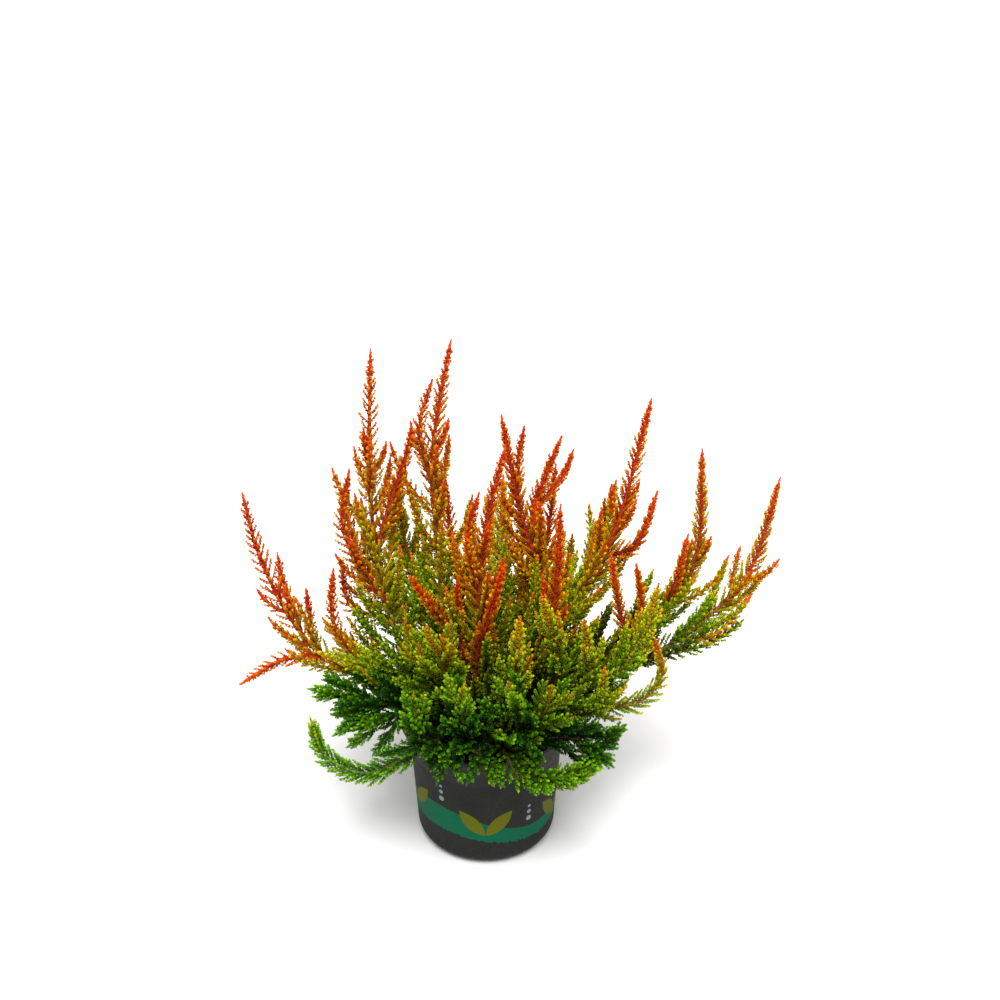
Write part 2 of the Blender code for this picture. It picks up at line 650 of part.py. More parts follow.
def build():
    remove_scene_objects()
    parts = new_collection("potted_heather")
    materials = {name: new_material(name, colour) for name, colour in COLOURS.items()}
    stems = {**STEMS, **back_stems()}
    pot = add_pot(parts, new_collection("drain_hole_cutters"))
    pot.data.materials.append(materials["pot"])
    soil = add_soil(parts, new_collection("stem_hole_cutters"), [root for _, root, _ in stems.values()])
    soil.data.materials.append(materials["soil"])
    grown = {name: grow_shoots(root, shoots) for name, (_, root, shoots) in stems.items()}
    rods = {name: [rod for shoot in shoots for rod in twig_rods(shoot)] for name, shoots in grown.items()}
    section = add_twig_section(parts)
    draw = random.Random(SEED)
    for name, (colour, _, _) in stems.items():
        neighbours = Neighbours([rod for other, placed in rods.items() if other != name for rod in placed])
        stem, branchlets = add_stem(name, grown[name], neighbours, draw, section, parts)
        rods[name] += branchlets
        stem.data.materials.clear()
        stem.data.materials.append(materials[colour])
    bpy.data.objects.remove(section, do_unlink=True)


build()
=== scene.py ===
import math
import random

import bmesh
import bpy
import numpy as np
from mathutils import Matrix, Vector, noise


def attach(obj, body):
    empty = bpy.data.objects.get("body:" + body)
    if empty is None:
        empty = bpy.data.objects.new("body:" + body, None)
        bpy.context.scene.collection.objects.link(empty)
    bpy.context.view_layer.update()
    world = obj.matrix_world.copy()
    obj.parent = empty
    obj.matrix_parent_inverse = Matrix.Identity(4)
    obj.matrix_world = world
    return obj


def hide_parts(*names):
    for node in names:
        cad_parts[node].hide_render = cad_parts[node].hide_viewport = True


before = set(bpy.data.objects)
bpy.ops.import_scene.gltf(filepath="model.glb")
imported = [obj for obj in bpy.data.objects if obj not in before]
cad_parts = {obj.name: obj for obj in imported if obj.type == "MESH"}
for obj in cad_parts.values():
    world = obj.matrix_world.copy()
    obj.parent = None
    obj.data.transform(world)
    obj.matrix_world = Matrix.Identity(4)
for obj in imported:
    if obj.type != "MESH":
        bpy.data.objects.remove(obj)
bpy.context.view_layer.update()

# Pot: one thin moulded shell of matte recycled plastic with dark specks, a flared collar and a lip.
# It stands on a foot ring and a centre pad, and drains through five holes between them. Its wall
# carries a plain print of a wavy band, leaves and dots.
POT_HEIGHT = 0.090
RIM_RADIUS = 0.0550
LIP_HEIGHT = 0.0028
LIP_OVERHANG = 0.0008
LIP_EASE = 0.0006
COLLAR_START_HEIGHT = 0.067
COLLAR_START_RADIUS = 0.0482
WALL_FOOT_RADIUS = 0.0446
FOOT_FILLET = 0.011
WALL = 0.0012
FLOOR_HEIGHT = 0.0035
UNDERSIDE_RECESS = 0.0015
UNDERSIDE_EASE = 0.0004
FOOT_RING_RADIUS = 0.029
CENTRE_PAD_RADIUS = 0.011
DRAIN_HOLES = 5
DRAIN_HOLE_RADIUS = 0.0028
DRAIN_HOLE_PITCH_RADIUS = 0.020
POT_STEPS = 144


def put_in_scene(name, data):
    """A new object of the scene from a mesh, a lamp or a camera."""
    made = bpy.data.objects.new(name, data)
    bpy.context.scene.collection.objects.link(made)
    return made


def piece_from(name, shape):
    mesh = bpy.data.meshes.new(name)
    shape.to_mesh(mesh)
    shape.free()
    return put_in_scene(name, mesh)


def eased(profile, radius, steps=4):
    """A profile with each inner corner rounded off, at most a third of the way along its sides."""
    points = [Vector(point) for point in profile]
    smooth = [points[0]]
    for before, corner, after in zip(points, points[1:], points[2:]):
        back = before - corner
        ahead = after - corner
        start = corner + back.normalized() * min(radius, back.length / 3)
        end = corner + ahead.normalized() * min(radius, ahead.length / 3)
        for step in range(steps + 1):
            t = step / steps
            smooth.append(start.lerp(corner, t).lerp(corner.lerp(end, t), t))
    return smooth + [points[-1]]


def turned(name, profile, steps):
    """A profile of (radius, height) points turned round the pot's axis."""
    shape = bmesh.new()
    corners = [shape.verts.new((point[0], 0.0, point[1])) for point in profile]
    edges = [shape.edges.new(pair) for pair in zip(corners, corners[1:])]
    bmesh.ops.spin(shape, geom=corners + edges, cent=(0, 0, 0), axis=(0, 0, 1), angle=math.tau,
                   steps=steps, use_merge=True)
    bmesh.ops.remove_doubles(shape, verts=shape.verts, dist=0.00001)
    bmesh.ops.recalc_face_normals(shape, faces=shape.faces)
    return piece_from(name, shape)


def foot_arc(radius, fillet, base_height, steps):
    """The rounded edge between the wall's foot and the underside, from the wall down."""
    turns = [math.pi / 2 * step / steps for step in range(steps + 1)]
    centre = (radius - fillet, base_height + fillet)
    return [(centre[0] + fillet * math.cos(turn), centre[1] - fillet * math.sin(turn)) for turn in turns]


def pot_profile():
    """From the floor's centre up the inside, over the lip, and down the outside to the pad."""
    inner_rim = RIM_RADIUS - LIP_OVERHANG - WALL
    lip_foot = POT_HEIGHT - LIP_HEIGHT
    floor = foot_arc(WALL_FOOT_RADIUS - WALL, FOOT_FILLET - WALL, FLOOR_HEIGHT, 8)[::-1]
    wall = eased([floor[-1], (COLLAR_START_RADIUS - WALL, COLLAR_START_HEIGHT),
                  (inner_rim, lip_foot), (inner_rim, POT_HEIGHT), (RIM_RADIUS, POT_HEIGHT),
                  (RIM_RADIUS, lip_foot), (RIM_RADIUS - LIP_OVERHANG, lip_foot - LIP_OVERHANG),
                  (COLLAR_START_RADIUS, COLLAR_START_HEIGHT),
                  (WALL_FOOT_RADIUS, FOOT_FILLET)], LIP_EASE)[1:-1]
    foot = foot_arc(WALL_FOOT_RADIUS, FOOT_FILLET, 0.0, 12)
    underside = eased([foot[-1], (FOOT_RING_RADIUS, 0.0),
                       (FOOT_RING_RADIUS - UNDERSIDE_RECESS, UNDERSIDE_RECESS),
                       (CENTRE_PAD_RADIUS + UNDERSIDE_RECESS, UNDERSIDE_RECESS),
                       (CENTRE_PAD_RADIUS, 0.0), (0.0, 0.0)], UNDERSIDE_EASE)[1:]
    return [(0.0, FLOOR_HEIGHT)] + floor + wall + foot + underside


def cut_drain_holes(pot):
    """Cuts the holes through the floor, and applies the cut."""
    shape = bmesh.new()
    for number in range(DRAIN_HOLES):
        made = bmesh.ops.create_cone(shape, cap_ends=True, segments=24, radius1=DRAIN_HOLE_RADIUS,
                                     radius2=DRAIN_HOLE_RADIUS, depth=0.02)
        turn = math.tau * number / DRAIN_HOLES
        place = DRAIN_HOLE_PITCH_RADIUS * Vector((math.cos(turn), math.sin(turn), 0.0))
        bmesh.ops.translate(shape, verts=made["verts"], vec=place)
    cutters = piece_from("drain_hole_cutters", shape)
    cut = pot.modifiers.new("Drain holes", "BOOLEAN")
    cut.operation = "DIFFERENCE"
    cut.object = cutters
    cut.solver = "EXACT"
    depsgraph = bpy.context.evaluated_depsgraph_get()
    drilled = bpy.data.meshes.new_from_object(pot.evaluated_get(depsgraph))
    pot.modifiers.clear()
    pot.data = drilled
    bpy.data.objects.remove(cutters, do_unlink=True)


def shade(piece, angle):
    """Smooth shading, but for edges sharper than an angle in degrees."""
    piece.data.shade_smooth()
    piece.data.set_sharp_from_angle(angle=math.radians(angle))


def srgb(red, green, blue):
    """A colour as read off a screen, 0 to 255, as the linear values that a shader takes."""
    channels = [value / 255 for value in (red, green, blue)]
    linear = [c / 12.92 if c <= 0.04045 else ((c + 0.055) / 1.055) ** 2.4 for c in channels]
    return (*linear, 1.0)


def add_node(tree, kind, inputs=None, **settings):
    """A shader node with its settings, each input linked to a socket or set to a value."""
    made = tree.nodes.new("ShaderNode" + kind)
    for name, value in settings.items():
        setattr(made, name, value)
    for name, value in (inputs or {}).items():
        if isinstance(value, bpy.types.NodeSocket):
            tree.links.new(value, made.inputs[name])
        else:
            made.inputs[name].default_value = value
    return made


def maths(tree, operation, first, second=0.0, third=0.0):
    values = {0: first, 1: second, 2: third}
    return add_node(tree, "Math", values, operation=operation).outputs[0]


def mixed(tree, share, first, second):
    """Two colours mixed by a share."""
    node = add_node(tree, "Mix", {0: share, 6: first, 7: second}, data_type="RGBA")
    return node.outputs[2]


def ramp(tree, share, stops):
    """A colour ramp with stops of (position, colour)."""
    node = add_node(tree, "ValToRGB", {"Fac": share})
    elements = node.color_ramp.elements
    while len(elements) < len(stops):
        elements.new(1.0)
    for element, (position, colour) in zip(elements, stops):
        element.position = position
        element.color = colour
    return node.outputs["Color"]


def spread(tree, value, low, high, new_low=0.0, new_high=1.0):
    """A value stretched from one range to another, and kept inside the new one."""
    values = {"Value": value, "From Min": low, "From Max": high, "To Min": new_low, "To Max": new_high}
    return add_node(tree, "MapRange", values).outputs["Result"]


def noise_at(tree, place, scale, detail, **inputs):
    """A noise from 0 to 1, of which the scale is in bumps per metre."""
    inputs = {"Vector": place, "Scale": scale, "Detail": detail, **inputs}
    return add_node(tree, "TexNoise", inputs).outputs["Fac"]


def object_place(tree):
    return add_node(tree, "TexCoord").outputs["Object"]


def add_bump(tree, shader, height, strength, distance):
    bump = add_node(tree, "Bump", {"Height": height, "Strength": strength, "Distance": distance})
    tree.links.new(bump.outputs["Normal"], shader.inputs["Normal"])


def new_material(name, roughness):
    """A plain material: its node tree and its shader."""
    material = bpy.data.materials.new(name)
    material.use_nodes = True
    shader = material.node_tree.nodes["Principled BSDF"]
    shader.inputs["Roughness"].default_value = roughness
    return material, material.node_tree, shader


def new_group(name, inputs, outputs):
    """A shader node group with its sockets given as name and kind, and its two end nodes."""
    tree = bpy.data.node_groups.new(name, "ShaderNodeTree")
    for socket, kind in inputs.items():
        tree.interface.new_socket(socket, in_out="INPUT", socket_type="NodeSocket" + kind)
    for socket, kind in outputs.items():
        tree.interface.new_socket(socket, in_out="OUTPUT", socket_type="NodeSocket" + kind)
    return tree, tree.nodes.new("NodeGroupInput"), tree.nodes.new("NodeGroupOutput")


CLOUD_SCALE = 60.0
CLOUD_VALUES = (0.86, 1.16)
SPECK_EDGE = (0.34, 0.22)
LEAST_PICK = 0.02


def speck_group():
    """Specks and faint clouds of another colour over a base colour, for recycled plastic and peat."""
    sockets = {"Colour": "Color", "Speck Colour": "Color", "Place": "Vector", "Size": "Float",
               "Amount": "Float"}
    tree, start, end = new_group("specks", sockets, {"Colour": "Color", "Height": "Float"})
    given = start.outputs
    fineness = maths(tree, "DIVIDE", 1.0, given["Size"])
    cells = add_node(tree, "TexVoronoi", {"Vector": given["Place"], "Scale": fineness})
    grain = noise_at(tree, given["Place"], fineness, 3.0)
    cloud = noise_at(tree, given["Place"], CLOUD_SCALE, 4.0)
    inside = spread(tree, cells.outputs["Distance"], *SPECK_EDGE)
    chance = add_node(tree, "SeparateColor", {0: cells.outputs["Color"]}).outputs[0]
    picked = maths(tree, "GREATER_THAN", spread(tree, chance, given["Amount"], 0.0), LEAST_PICK)
    speck = maths(tree, "MULTIPLY", inside, picked)
    value = spread(tree, cloud, 0.3, 0.7, *CLOUD_VALUES)
    shaded = add_node(tree, "HueSaturation", {"Value": value, "Color": given["Colour"]})
    colour = mixed(tree, speck, shaded.outputs["Color"], given["Speck Colour"])
    tree.links.new(colour, end.inputs["Colour"])
    tree.links.new(grain, end.inputs["Height"])
    return tree


SPECKS = speck_group()
PLASTIC = srgb(34, 34, 32)
PLASTIC_SPECK = srgb(16, 15, 15)
PLASTIC_SPECK_SIZE = 0.0011
PLASTIC_SPECK_AMOUNT = 0.30
PLASTIC_ROUGHNESS = (0.52, 0.68)
PLASTIC_SPECULAR = 0.07
PLASTIC_SCUFF = srgb(88, 84, 82)
SCUFF_SCALE = 420.0
SCUFF_EDGE = (0.62, 0.70)
SCUFF_MOST = 0.55
SCUFF_SHARE_BELOW_COLLAR = 0.25

# The print: the heights of the band's two wavy lines and of their waves, and pairs of leaves that
# lean apart on its upper line, with a column of dots between each two pairs
PRINT_TEAL = srgb(0, 84, 56)
PRINT_OLIVE = srgb(86, 88, 4)
PRINT_PALE = srgb(120, 130, 132)
BAND_WAVES = 2
BAND_TOP = (0.036, 0.0085)
BAND_FOOT = (0.0215, 0.0040)
RAGGED_SCALE = 700.0
RAGGED_HEIGHT = 0.006
PRINT_RADIUS = 0.046
LEAF_PAIRS = 5
LEAF_CELL = math.tau * PRINT_RADIUS / LEAF_PAIRS
LEAF_HALF_WIDTH = 0.0048
LEAF_HALF_LENGTH = 0.0125
LEAF_OFFSET = 0.0085
LEAF_SLOPE = 0.72
DOTS = [(0.0065, 0.0019), (0.0120, 0.0015), (0.0165, 0.0011)]


def wave_height(tree, turn, middle, swing):
    """The height of a wavy line at a turn round the pot."""
    wave = maths(tree, "SINE", maths(tree, "MULTIPLY", turn, BAND_WAVES * math.tau))
    return maths(tree, "MULTIPLY_ADD", wave, swing, middle)


def from_repeat(tree, turn, height, shift):
    """Metres round the wall and up from the band's top, from the middle of the nearest repeat."""
    cells = maths(tree, "MULTIPLY_ADD", turn, LEAF_PAIRS, shift)
    across = maths(tree, "SUBTRACT", maths(tree, "FRACT", cells), 0.5)
    middle = maths(tree, "ADD", maths(tree, "FLOOR", cells), 0.5 - shift)
    band_top = wave_height(tree, maths(tree, "DIVIDE", middle, LEAF_PAIRS), *BAND_TOP)
    return maths(tree, "MULTIPLY", across, LEAF_CELL), maths(tree, "SUBTRACT", height, band_top)


def dot_print(tree, across, up, centre, radius):
    """A mask of a round dot."""
    rise = maths(tree, "SUBTRACT", up, centre)
    square = maths(tree, "ADD", maths(tree, "MULTIPLY", across, across), maths(tree, "MULTIPLY", rise, rise))
    return maths(tree, "LESS_THAN", square, radius ** 2)


def leaf_print(tree, across, up, lean):
    """A mask of a pointed leaf that leans away from its middle line."""
    across = maths(tree, "SUBTRACT", across, LEAF_OFFSET * lean)
    sine = math.sin(LEAF_SLOPE * lean)
    cosine = math.cos(LEAF_SLOPE * lean)
    along = maths(tree, "ADD", maths(tree, "MULTIPLY", across, sine), maths(tree, "MULTIPLY", up, cosine))
    aside = maths(tree, "SUBTRACT", maths(tree, "MULTIPLY", across, cosine),
                  maths(tree, "MULTIPLY", up, sine))
    square = maths(tree, "MULTIPLY", along, along)
    taper = LEAF_HALF_WIDTH / LEAF_HALF_LENGTH ** 2
    half_width = maths(tree, "MULTIPLY_ADD", square, -taper, LEAF_HALF_WIDTH)
    return maths(tree, "GREATER_THAN", half_width, maths(tree, "ABSOLUTE", aside))


def printed(tree, colour, place, turn, height):
    """The print over the plastic's own colour; the band's lower edge is ragged."""
    ragged = maths(tree, "SUBTRACT", noise_at(tree, place, RAGGED_SCALE, 2.0), 0.5)
    ragged_height = maths(tree, "ADD", height, maths(tree, "MULTIPLY", ragged, RAGGED_HEIGHT))
    under_top = maths(tree, "LESS_THAN", height, wave_height(tree, turn, *BAND_TOP))
    over_foot = maths(tree, "GREATER_THAN", ragged_height, wave_height(tree, turn, *BAND_FOOT))
    colour = mixed(tree, maths(tree, "MULTIPLY", under_top, over_foot), colour, PRINT_TEAL)
    across, up = from_repeat(tree, turn, height, 0.0)
    for lean in (-1, 1):
        colour = mixed(tree, leaf_print(tree, across, up, lean), colour, PRINT_OLIVE)
    across, up = from_repeat(tree, turn, height, 0.5)
    for centre, radius in DOTS:
        colour = mixed(tree, dot_print(tree, across, up, centre, radius), colour, PRINT_PALE)
    return colour


def pot_material():
    """Speckled plastic under its print, scuffed here and there, most of all at the collar."""
    material, tree, shader = new_material("recycled_plastic", PLASTIC_ROUGHNESS[0])
    place = object_place(tree)
    across, deep, height = add_node(tree, "SeparateXYZ", {0: place}).outputs
    turn = maths(tree, "DIVIDE", maths(tree, "ARCTAN2", across, deep), math.tau)
    specks = {"Colour": PLASTIC, "Speck Colour": PLASTIC_SPECK, "Place": place,
              "Size": PLASTIC_SPECK_SIZE, "Amount": PLASTIC_SPECK_AMOUNT}
    base = add_node(tree, "Group", specks, node_tree=SPECKS)
    colour = printed(tree, base.outputs["Colour"], place, turn, height)
    worn = spread(tree, noise_at(tree, place, SCUFF_SCALE, 5.0, Roughness=0.7), *SCUFF_EDGE, 0.0, SCUFF_MOST)
    near_rim = spread(tree, height, COLLAR_START_HEIGHT - 0.004, POT_HEIGHT, SCUFF_SHARE_BELOW_COLLAR, 1.0)
    colour = mixed(tree, maths(tree, "MULTIPLY", worn, near_rim), colour, PLASTIC_SCUFF)
    tree.links.new(colour, shader.inputs["Base Color"])
    rough = spread(tree, base.outputs["Height"], 0.3, 0.7, *PLASTIC_ROUGHNESS)
    tree.links.new(rough, shader.inputs["Roughness"])
    shader.inputs["Specular IOR Level"].default_value = PLASTIC_SPECULAR
    add_bump(tree, shader, base.outputs["Height"], 0.35, 0.0003)
    return material


pot = turned("nursery_pot", pot_profile(), POT_STEPS)
cut_drain_holes(pot)
shade(pot, 40)
pot.data.materials.clear()
pot.data.materials.append(pot_material())
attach(pot, "root")
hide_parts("pot")

# Potting soil: moist dark peat with crumbs and bits of bark, pressed in to below the rim.
# It holds the root ball, and is heaped a little towards the middle, where the stems come out.
SOIL_EDGE_HEIGHT = 0.0765
SOIL_CENTRE_HEIGHT = 0.0800
SOIL_GAP = 0.0006
SOIL_RINGS = 44
SOIL_STEPS = 132
LUMP_HEIGHT = 0.0010
LUMP_SCALE = 110
GRAIN_HEIGHT = 0.0007
GRAIN_SCALE = 420
SOIL_CRUMBS = 420
SOIL_CRUMB_RADII = (0.0005, 0.0015)
SOIL_CRUMB_STRETCH = ((0.7, 2.2), (0.6, 1.0), (0.4, 0.8))
SOIL_CRUMB_ROUGHNESS = (0.75, 1.25)
SOIL_SEED = 11
PEAT = srgb(40, 29, 21)
PEAT_SPECK = srgb(96, 68, 42)
PEAT_SPECK_SIZE = 0.0016
PEAT_SPECK_AMOUNT = 0.22


def collar_inside(height):
    """The radius of the inside of the collar at a height."""
    rim = RIM_RADIUS - LIP_OVERHANG - WALL
    share = (height - COLLAR_START_HEIGHT) / (POT_HEIGHT - LIP_HEIGHT - COLLAR_START_HEIGHT)
    return COLLAR_START_RADIUS - WALL + share * (rim - COLLAR_START_RADIUS + WALL)


SOIL_EDGE_RADIUS = collar_inside(SOIL_EDGE_HEIGHT) - 2 * SOIL_GAP


def soil_height(across, deep):
    """The soil's surface: a low heap with lumps and fine grain, which fade out at its edge."""
    reach = min(1.0, math.hypot(across, deep) / SOIL_EDGE_RADIUS)
    heap = SOIL_CENTRE_HEIGHT + (SOIL_EDGE_HEIGHT - SOIL_CENTRE_HEIGHT) * reach ** 2
    lumps = LUMP_HEIGHT * noise.noise(Vector((across, deep, 0.0)) * LUMP_SCALE)
    grain = GRAIN_HEIGHT * noise.noise(Vector((across, deep, 0.1)) * GRAIN_SCALE)
    return heap + (lumps + grain) * (1 - reach ** 6)


def add_crumbs(shape):
    """Small broken lumps that lie half sunk on the surface, some long like bark."""
    draw = np.random.default_rng(SOIL_SEED)
    for _ in range(SOIL_CRUMBS):
        reach = (SOIL_EDGE_RADIUS - 0.002) * math.sqrt(draw.random())
        turn = draw.uniform(0, math.tau)
        across = reach * math.cos(turn)
        deep = reach * math.sin(turn)
        size = draw.uniform(*SOIL_CRUMB_RADII)
        made = bmesh.ops.create_icosphere(shape, subdivisions=1, radius=size)
        stretch = Vector([draw.uniform(*stretches) for stretches in SOIL_CRUMB_STRETCH])
        bmesh.ops.scale(shape, verts=made["verts"], vec=stretch)
        for corner in made["verts"]:
            corner.co *= draw.uniform(*SOIL_CRUMB_ROUGHNESS)
        spin = Vector((math.cos(turn * 5), math.sin(turn * 5), 0.0)).to_track_quat("X", "Z").to_matrix()
        bmesh.ops.rotate(shape, verts=made["verts"], matrix=spin, cent=(0, 0, 0))
        place = Vector((across, deep, soil_height(across, deep) + 0.1 * size))
        bmesh.ops.translate(shape, verts=made["verts"], vec=place)


def add_soil():
    """The soil from its heap down to the pot's floor, and its crumbs."""
    floor = FLOOR_HEIGHT + SOIL_GAP
    arc = foot_arc(WALL_FOOT_RADIUS - WALL - SOIL_GAP, FOOT_FILLET - WALL, floor, 6)
    top = [(SOIL_EDGE_RADIUS * ring / SOIL_RINGS, SOIL_CENTRE_HEIGHT) for ring in range(SOIL_RINGS + 1)]
    side = [(COLLAR_START_RADIUS - WALL - SOIL_GAP, COLLAR_START_HEIGHT)] + arc + [(0.0, floor)]
    soil = turned("peat_soil", top + side, SOIL_STEPS)
    shape = bmesh.new()
    shape.from_mesh(soil.data)
    for corner in shape.verts:
        if corner.co.z > SOIL_CENTRE_HEIGHT - SOIL_GAP:
            corner.co.z = soil_height(corner.co.x, corner.co.y)
    add_crumbs(shape)
    shape.to_mesh(soil.data)
    shape.free()
    return soil


def soil_material():
    """Dark peat with paler bits of bark."""
    material, tree, shader = new_material("moist_peat", 0.92)
    specks = {"Colour": PEAT, "Speck Colour": PEAT_SPECK, "Place": object_place(tree),
              "Size": PEAT_SPECK_SIZE, "Amount": PEAT_SPECK_AMOUNT}
    base = add_node(tree, "Group", specks, node_tree=SPECKS)
    tree.links.new(base.outputs["Colour"], shader.inputs["Base Color"])
    add_bump(tree, shader, base.outputs["Height"], 0.8, 0.0006)
    return material


soil = add_soil()
shade(soil, 30)
soil.data.materials.append(soil_material())
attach(soil, "root")
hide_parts("potting_soil")

# Leafy stems: thin woody twigs, dark red where they are young, clad in four rows of tiny keeled
# scale leaves, and with pairs of short clad branchlets all along them. They stand in the soil. Leaves
# near the tips are orange, amber or lime, and those in the middle of the plant are green, with
# painted shade that darkens them.
HOLE_DEPTH = 0.012
STEM_COLLAR = 0.0030
STEM_FOOT_RADIUS = 0.0020
SIDE_FOOT_RADIUS = 0.0014
TIP_RADIUS = 0.0005
TAPER_POWER = 1.2
OFF_AXIS = (0.3, 0.9, 0.2)
STEM_LEAFY_FROM = 0.14
SIDE_LEAFY_FROM = 0.06
FORK_YOUTH = 0.4
CURVE_STEPS = 16
TWIG_SIDES = 7
PLANT_SEED = 27

# Each stem has a kind, the place where it leaves the soil, and its shoots. A shoot is a pair: where
# it forks (None from the soil, else the parent shoot's number and the fraction of that shoot's
# length), and the points that it passes through on its way to its tip, all in millimetres.
STEMS = {
    "stem_tall_left": ("ember", (-16, 8), [
        (None, [(-50, 22, 112), (-68, 48, 170), (-74, 72, 218), (-72, 94, 298)]),
        ((0, 0.5), [(-50, 66, 238), (-46, 68, 260)]),
        ((0, 0.36), [(-88, 42, 194), (-84, 44, 240)]),
    ]),
    "stem_tall_middle": ("ember", (-7, 10), [
        (None, [(-24, 26, 120), (-30, 56, 168), (-34, 82, 230), (-22, 104, 300)]),
        ((0, 0.62), [(-42, 88, 246), (-34, 98, 276)]),
    ]),
    "stem_long_left": ("ember", (-24, 5), [
        (None, [(-54, 14, 104), (-100, 22, 114), (-126, 32, 142), (-144, 44, 182), (-152, 50, 220)]),
        ((0, 0.5), [(-112, 30, 138), (-114, 34, 160)]),
        ((0, 0.44), [(-128, 20, 116), (-158, 18, 98)]),
    ]),
    "stem_mid_left": ("ember", (-22, -2), [
        (None, [(-66, 6, 110), (-92, 14, 138), (-96, 16, 162), (-94, 18, 184)]),
    ]),
    "stem_leaning_middle": ("ember", (9, 7), [
        (None, [(33, 14, 118), (43, 26, 144), (35, 41, 170), (22, 50, 206), (10, 58, 270)]),
        ((0, 0.72), [(20, 58, 232), (24, 64, 260)]),
    ]),
    "stem_upright_middle": ("ember", (0, 4), [
        (None, [(-4, 14, 142), (-2, 24, 194), (4, 30, 226), (12, 34, 260)]),
        ((0, 0.44), [(-10, 28, 200), (-4, 32, 230)]),
    ]),
    "stem_arched_middle": ("ember", (4, 16), [
        (None, [(30, 42, 142), (29, 60, 196), (38, 70, 222), (48, 78, 246)]),
        ((0, 0.72), [(48, 74, 218), (56, 80, 236)]),
    ]),
    "stem_straight_right": ("ember", (11, 0), [
        (None, [(36, 5, 134), (44, 14, 176), (46, 24, 226)]),
    ]),
    "stem_tall_right": ("ember", (16, 13), [
        (None, [(36, 27, 120), (54, 38, 144), (72, 48, 166), (88, 64, 206), (104, 82, 270)]),
        ((0, 0.54), [(96, 48, 186), (108, 56, 218)]),
    ]),
    "stem_front_middle": ("ember", (-3, -5), [
        (None, [(-6, -6, 130), (2, -8, 164), (12, -6, 202)]),
        ((0, 0.22), [(-15, 3, 140), (-17, 6, 186)]),
        ((1, 0.5), [(-32, 2, 166), (-46, -2, 192)]),
    ]),
    "stem_mid_right": ("ember", (19, 0), [
        (None, [(58, 4, 113), (88, 16, 126), (84, 20, 154), (78, 24, 190)]),
        ((0, 0.58), [(98, 20, 148), (94, 24, 184)]),
    ]),
    "stem_far_right": ("ember", (24, 10), [
        (None, [(78, 28, 118), (118, 44, 142), (136, 58, 174), (137, 74, 238)]),
        ((0, 0.52), [(120, 36, 162), (127, 40, 196)]),
    ]),
    "stem_long_right": ("ember", (28, 4), [
        (None, [(66, 14, 103), (116, 28, 120), (150, 44, 140), (173, 58, 166), (187, 70, 220)]),
        ((0, 0.48), [(148, 32, 128), (170, 40, 152)]),
    ]),
    "stem_curled_right": ("amber", (26, -5), [
        (None, [(52, -6, 99), (68, -6, 98), (94, -4, 99), (110, 1, 114), (106, 6, 140)]),
        ((0, 0.38), [(80, -8, 122), (98, -3, 152), (106, 2, 184)]),
    ]),
    "stem_upright_right": ("amber", (15, -6), [
        (None, [(46, -14, 100), (64, -17, 124), (60, -17, 170)]),
        ((0, 0.22), [(45, -13, 130), (34, -18, 188)]),
    ]),
    "stem_drooping_left": ("green", (-23, -15), [
        (None, [(-37, -44, 99), (-50, -50, 90), (-74, -46, 76), (-99, -37, 83), (-108, -29, 106)]),
    ]),
    "stem_drooping_right": ("green", (7, -25), [
        (None, [(12, -51, 96), (21, -63, 86), (38, -66, 84), (56, -65, 86), (67, -62, 94)]),
    ]),
    "stem_skirt_right": ("green", (26, -20), [
        (None, [(50, -38, 98), (70, -45, 95), (85, -43, 110)]),
        ((0, 0.55), [(66, -52, 93), (74, -55, 98)]),
    ]),
    "stem_skirt_front_left": ("green", (-16, -20), [
        (None, [(-26, -46, 102), (-38, -58, 112), (-42, -57, 144)]),
        ((0, 0.52), [(-26, -62, 97), (-29, -68, 86)]),
    ]),
    "stem_skirt_left": ("green", (-26, -8), [
        (None, [(-50, -13, 103), (-78, -10, 106), (-106, -6, 114)]),
        ((0, 0.52), [(-80, -18, 102), (-96, -20, 102)]),
        ((0, 0.42), [(-64, -26, 101), (-82, -32, 100)]),
    ]),
    "stem_high_left": ("amber", (-15, 0), [
        (None, [(-40, -2, 112), (-62, -3, 124), (-84, -1, 129), (-106, 2, 134)]),
        ((0, 0.34), [(-45, 8, 134), (-50, 10, 152)]),
    ]),
    "stem_skirt_front": ("green", (-5, -24), [
        (None, [(-9, -46, 102), (-13, -57, 124), (-12, -55, 150)]),
        ((0, 0.44), [(-6, -60, 96), (-11, -69, 86)]),
    ]),
    "stem_skirt_front_right": ("green", (13, -17), [
        (None, [(26, -43, 106), (20, -51, 126), (14, -51, 148)]),
        ((0, 0.44), [(36, -44, 121), (40, -44, 140)]),
    ]),
    "stem_tuft_right": ("amber", (21, -13), [
        (None, [(48, -26, 106), (68, -29, 118), (73, -26, 142)]),
        ((0, 0.56), [(74, -30, 118), (86, -30, 130)]),
    ]),
    "stem_front_left": ("green", (-11, -11), [
        (None, [(-25, -20, 114), (-36, -24, 132), (-40, -25, 156)]),
        ((0, 0.42), [(-24, -29, 134), (-25, -30, 168)]),
    ]),
    "stem_front_right": ("amber", (5, -13), [
        (None, [(11, -32, 122), (18, -36, 150), (21, -36, 184)]),
        ((0, 0.42), [(20, -33, 134), (28, -36, 156)]),
    ]),
}

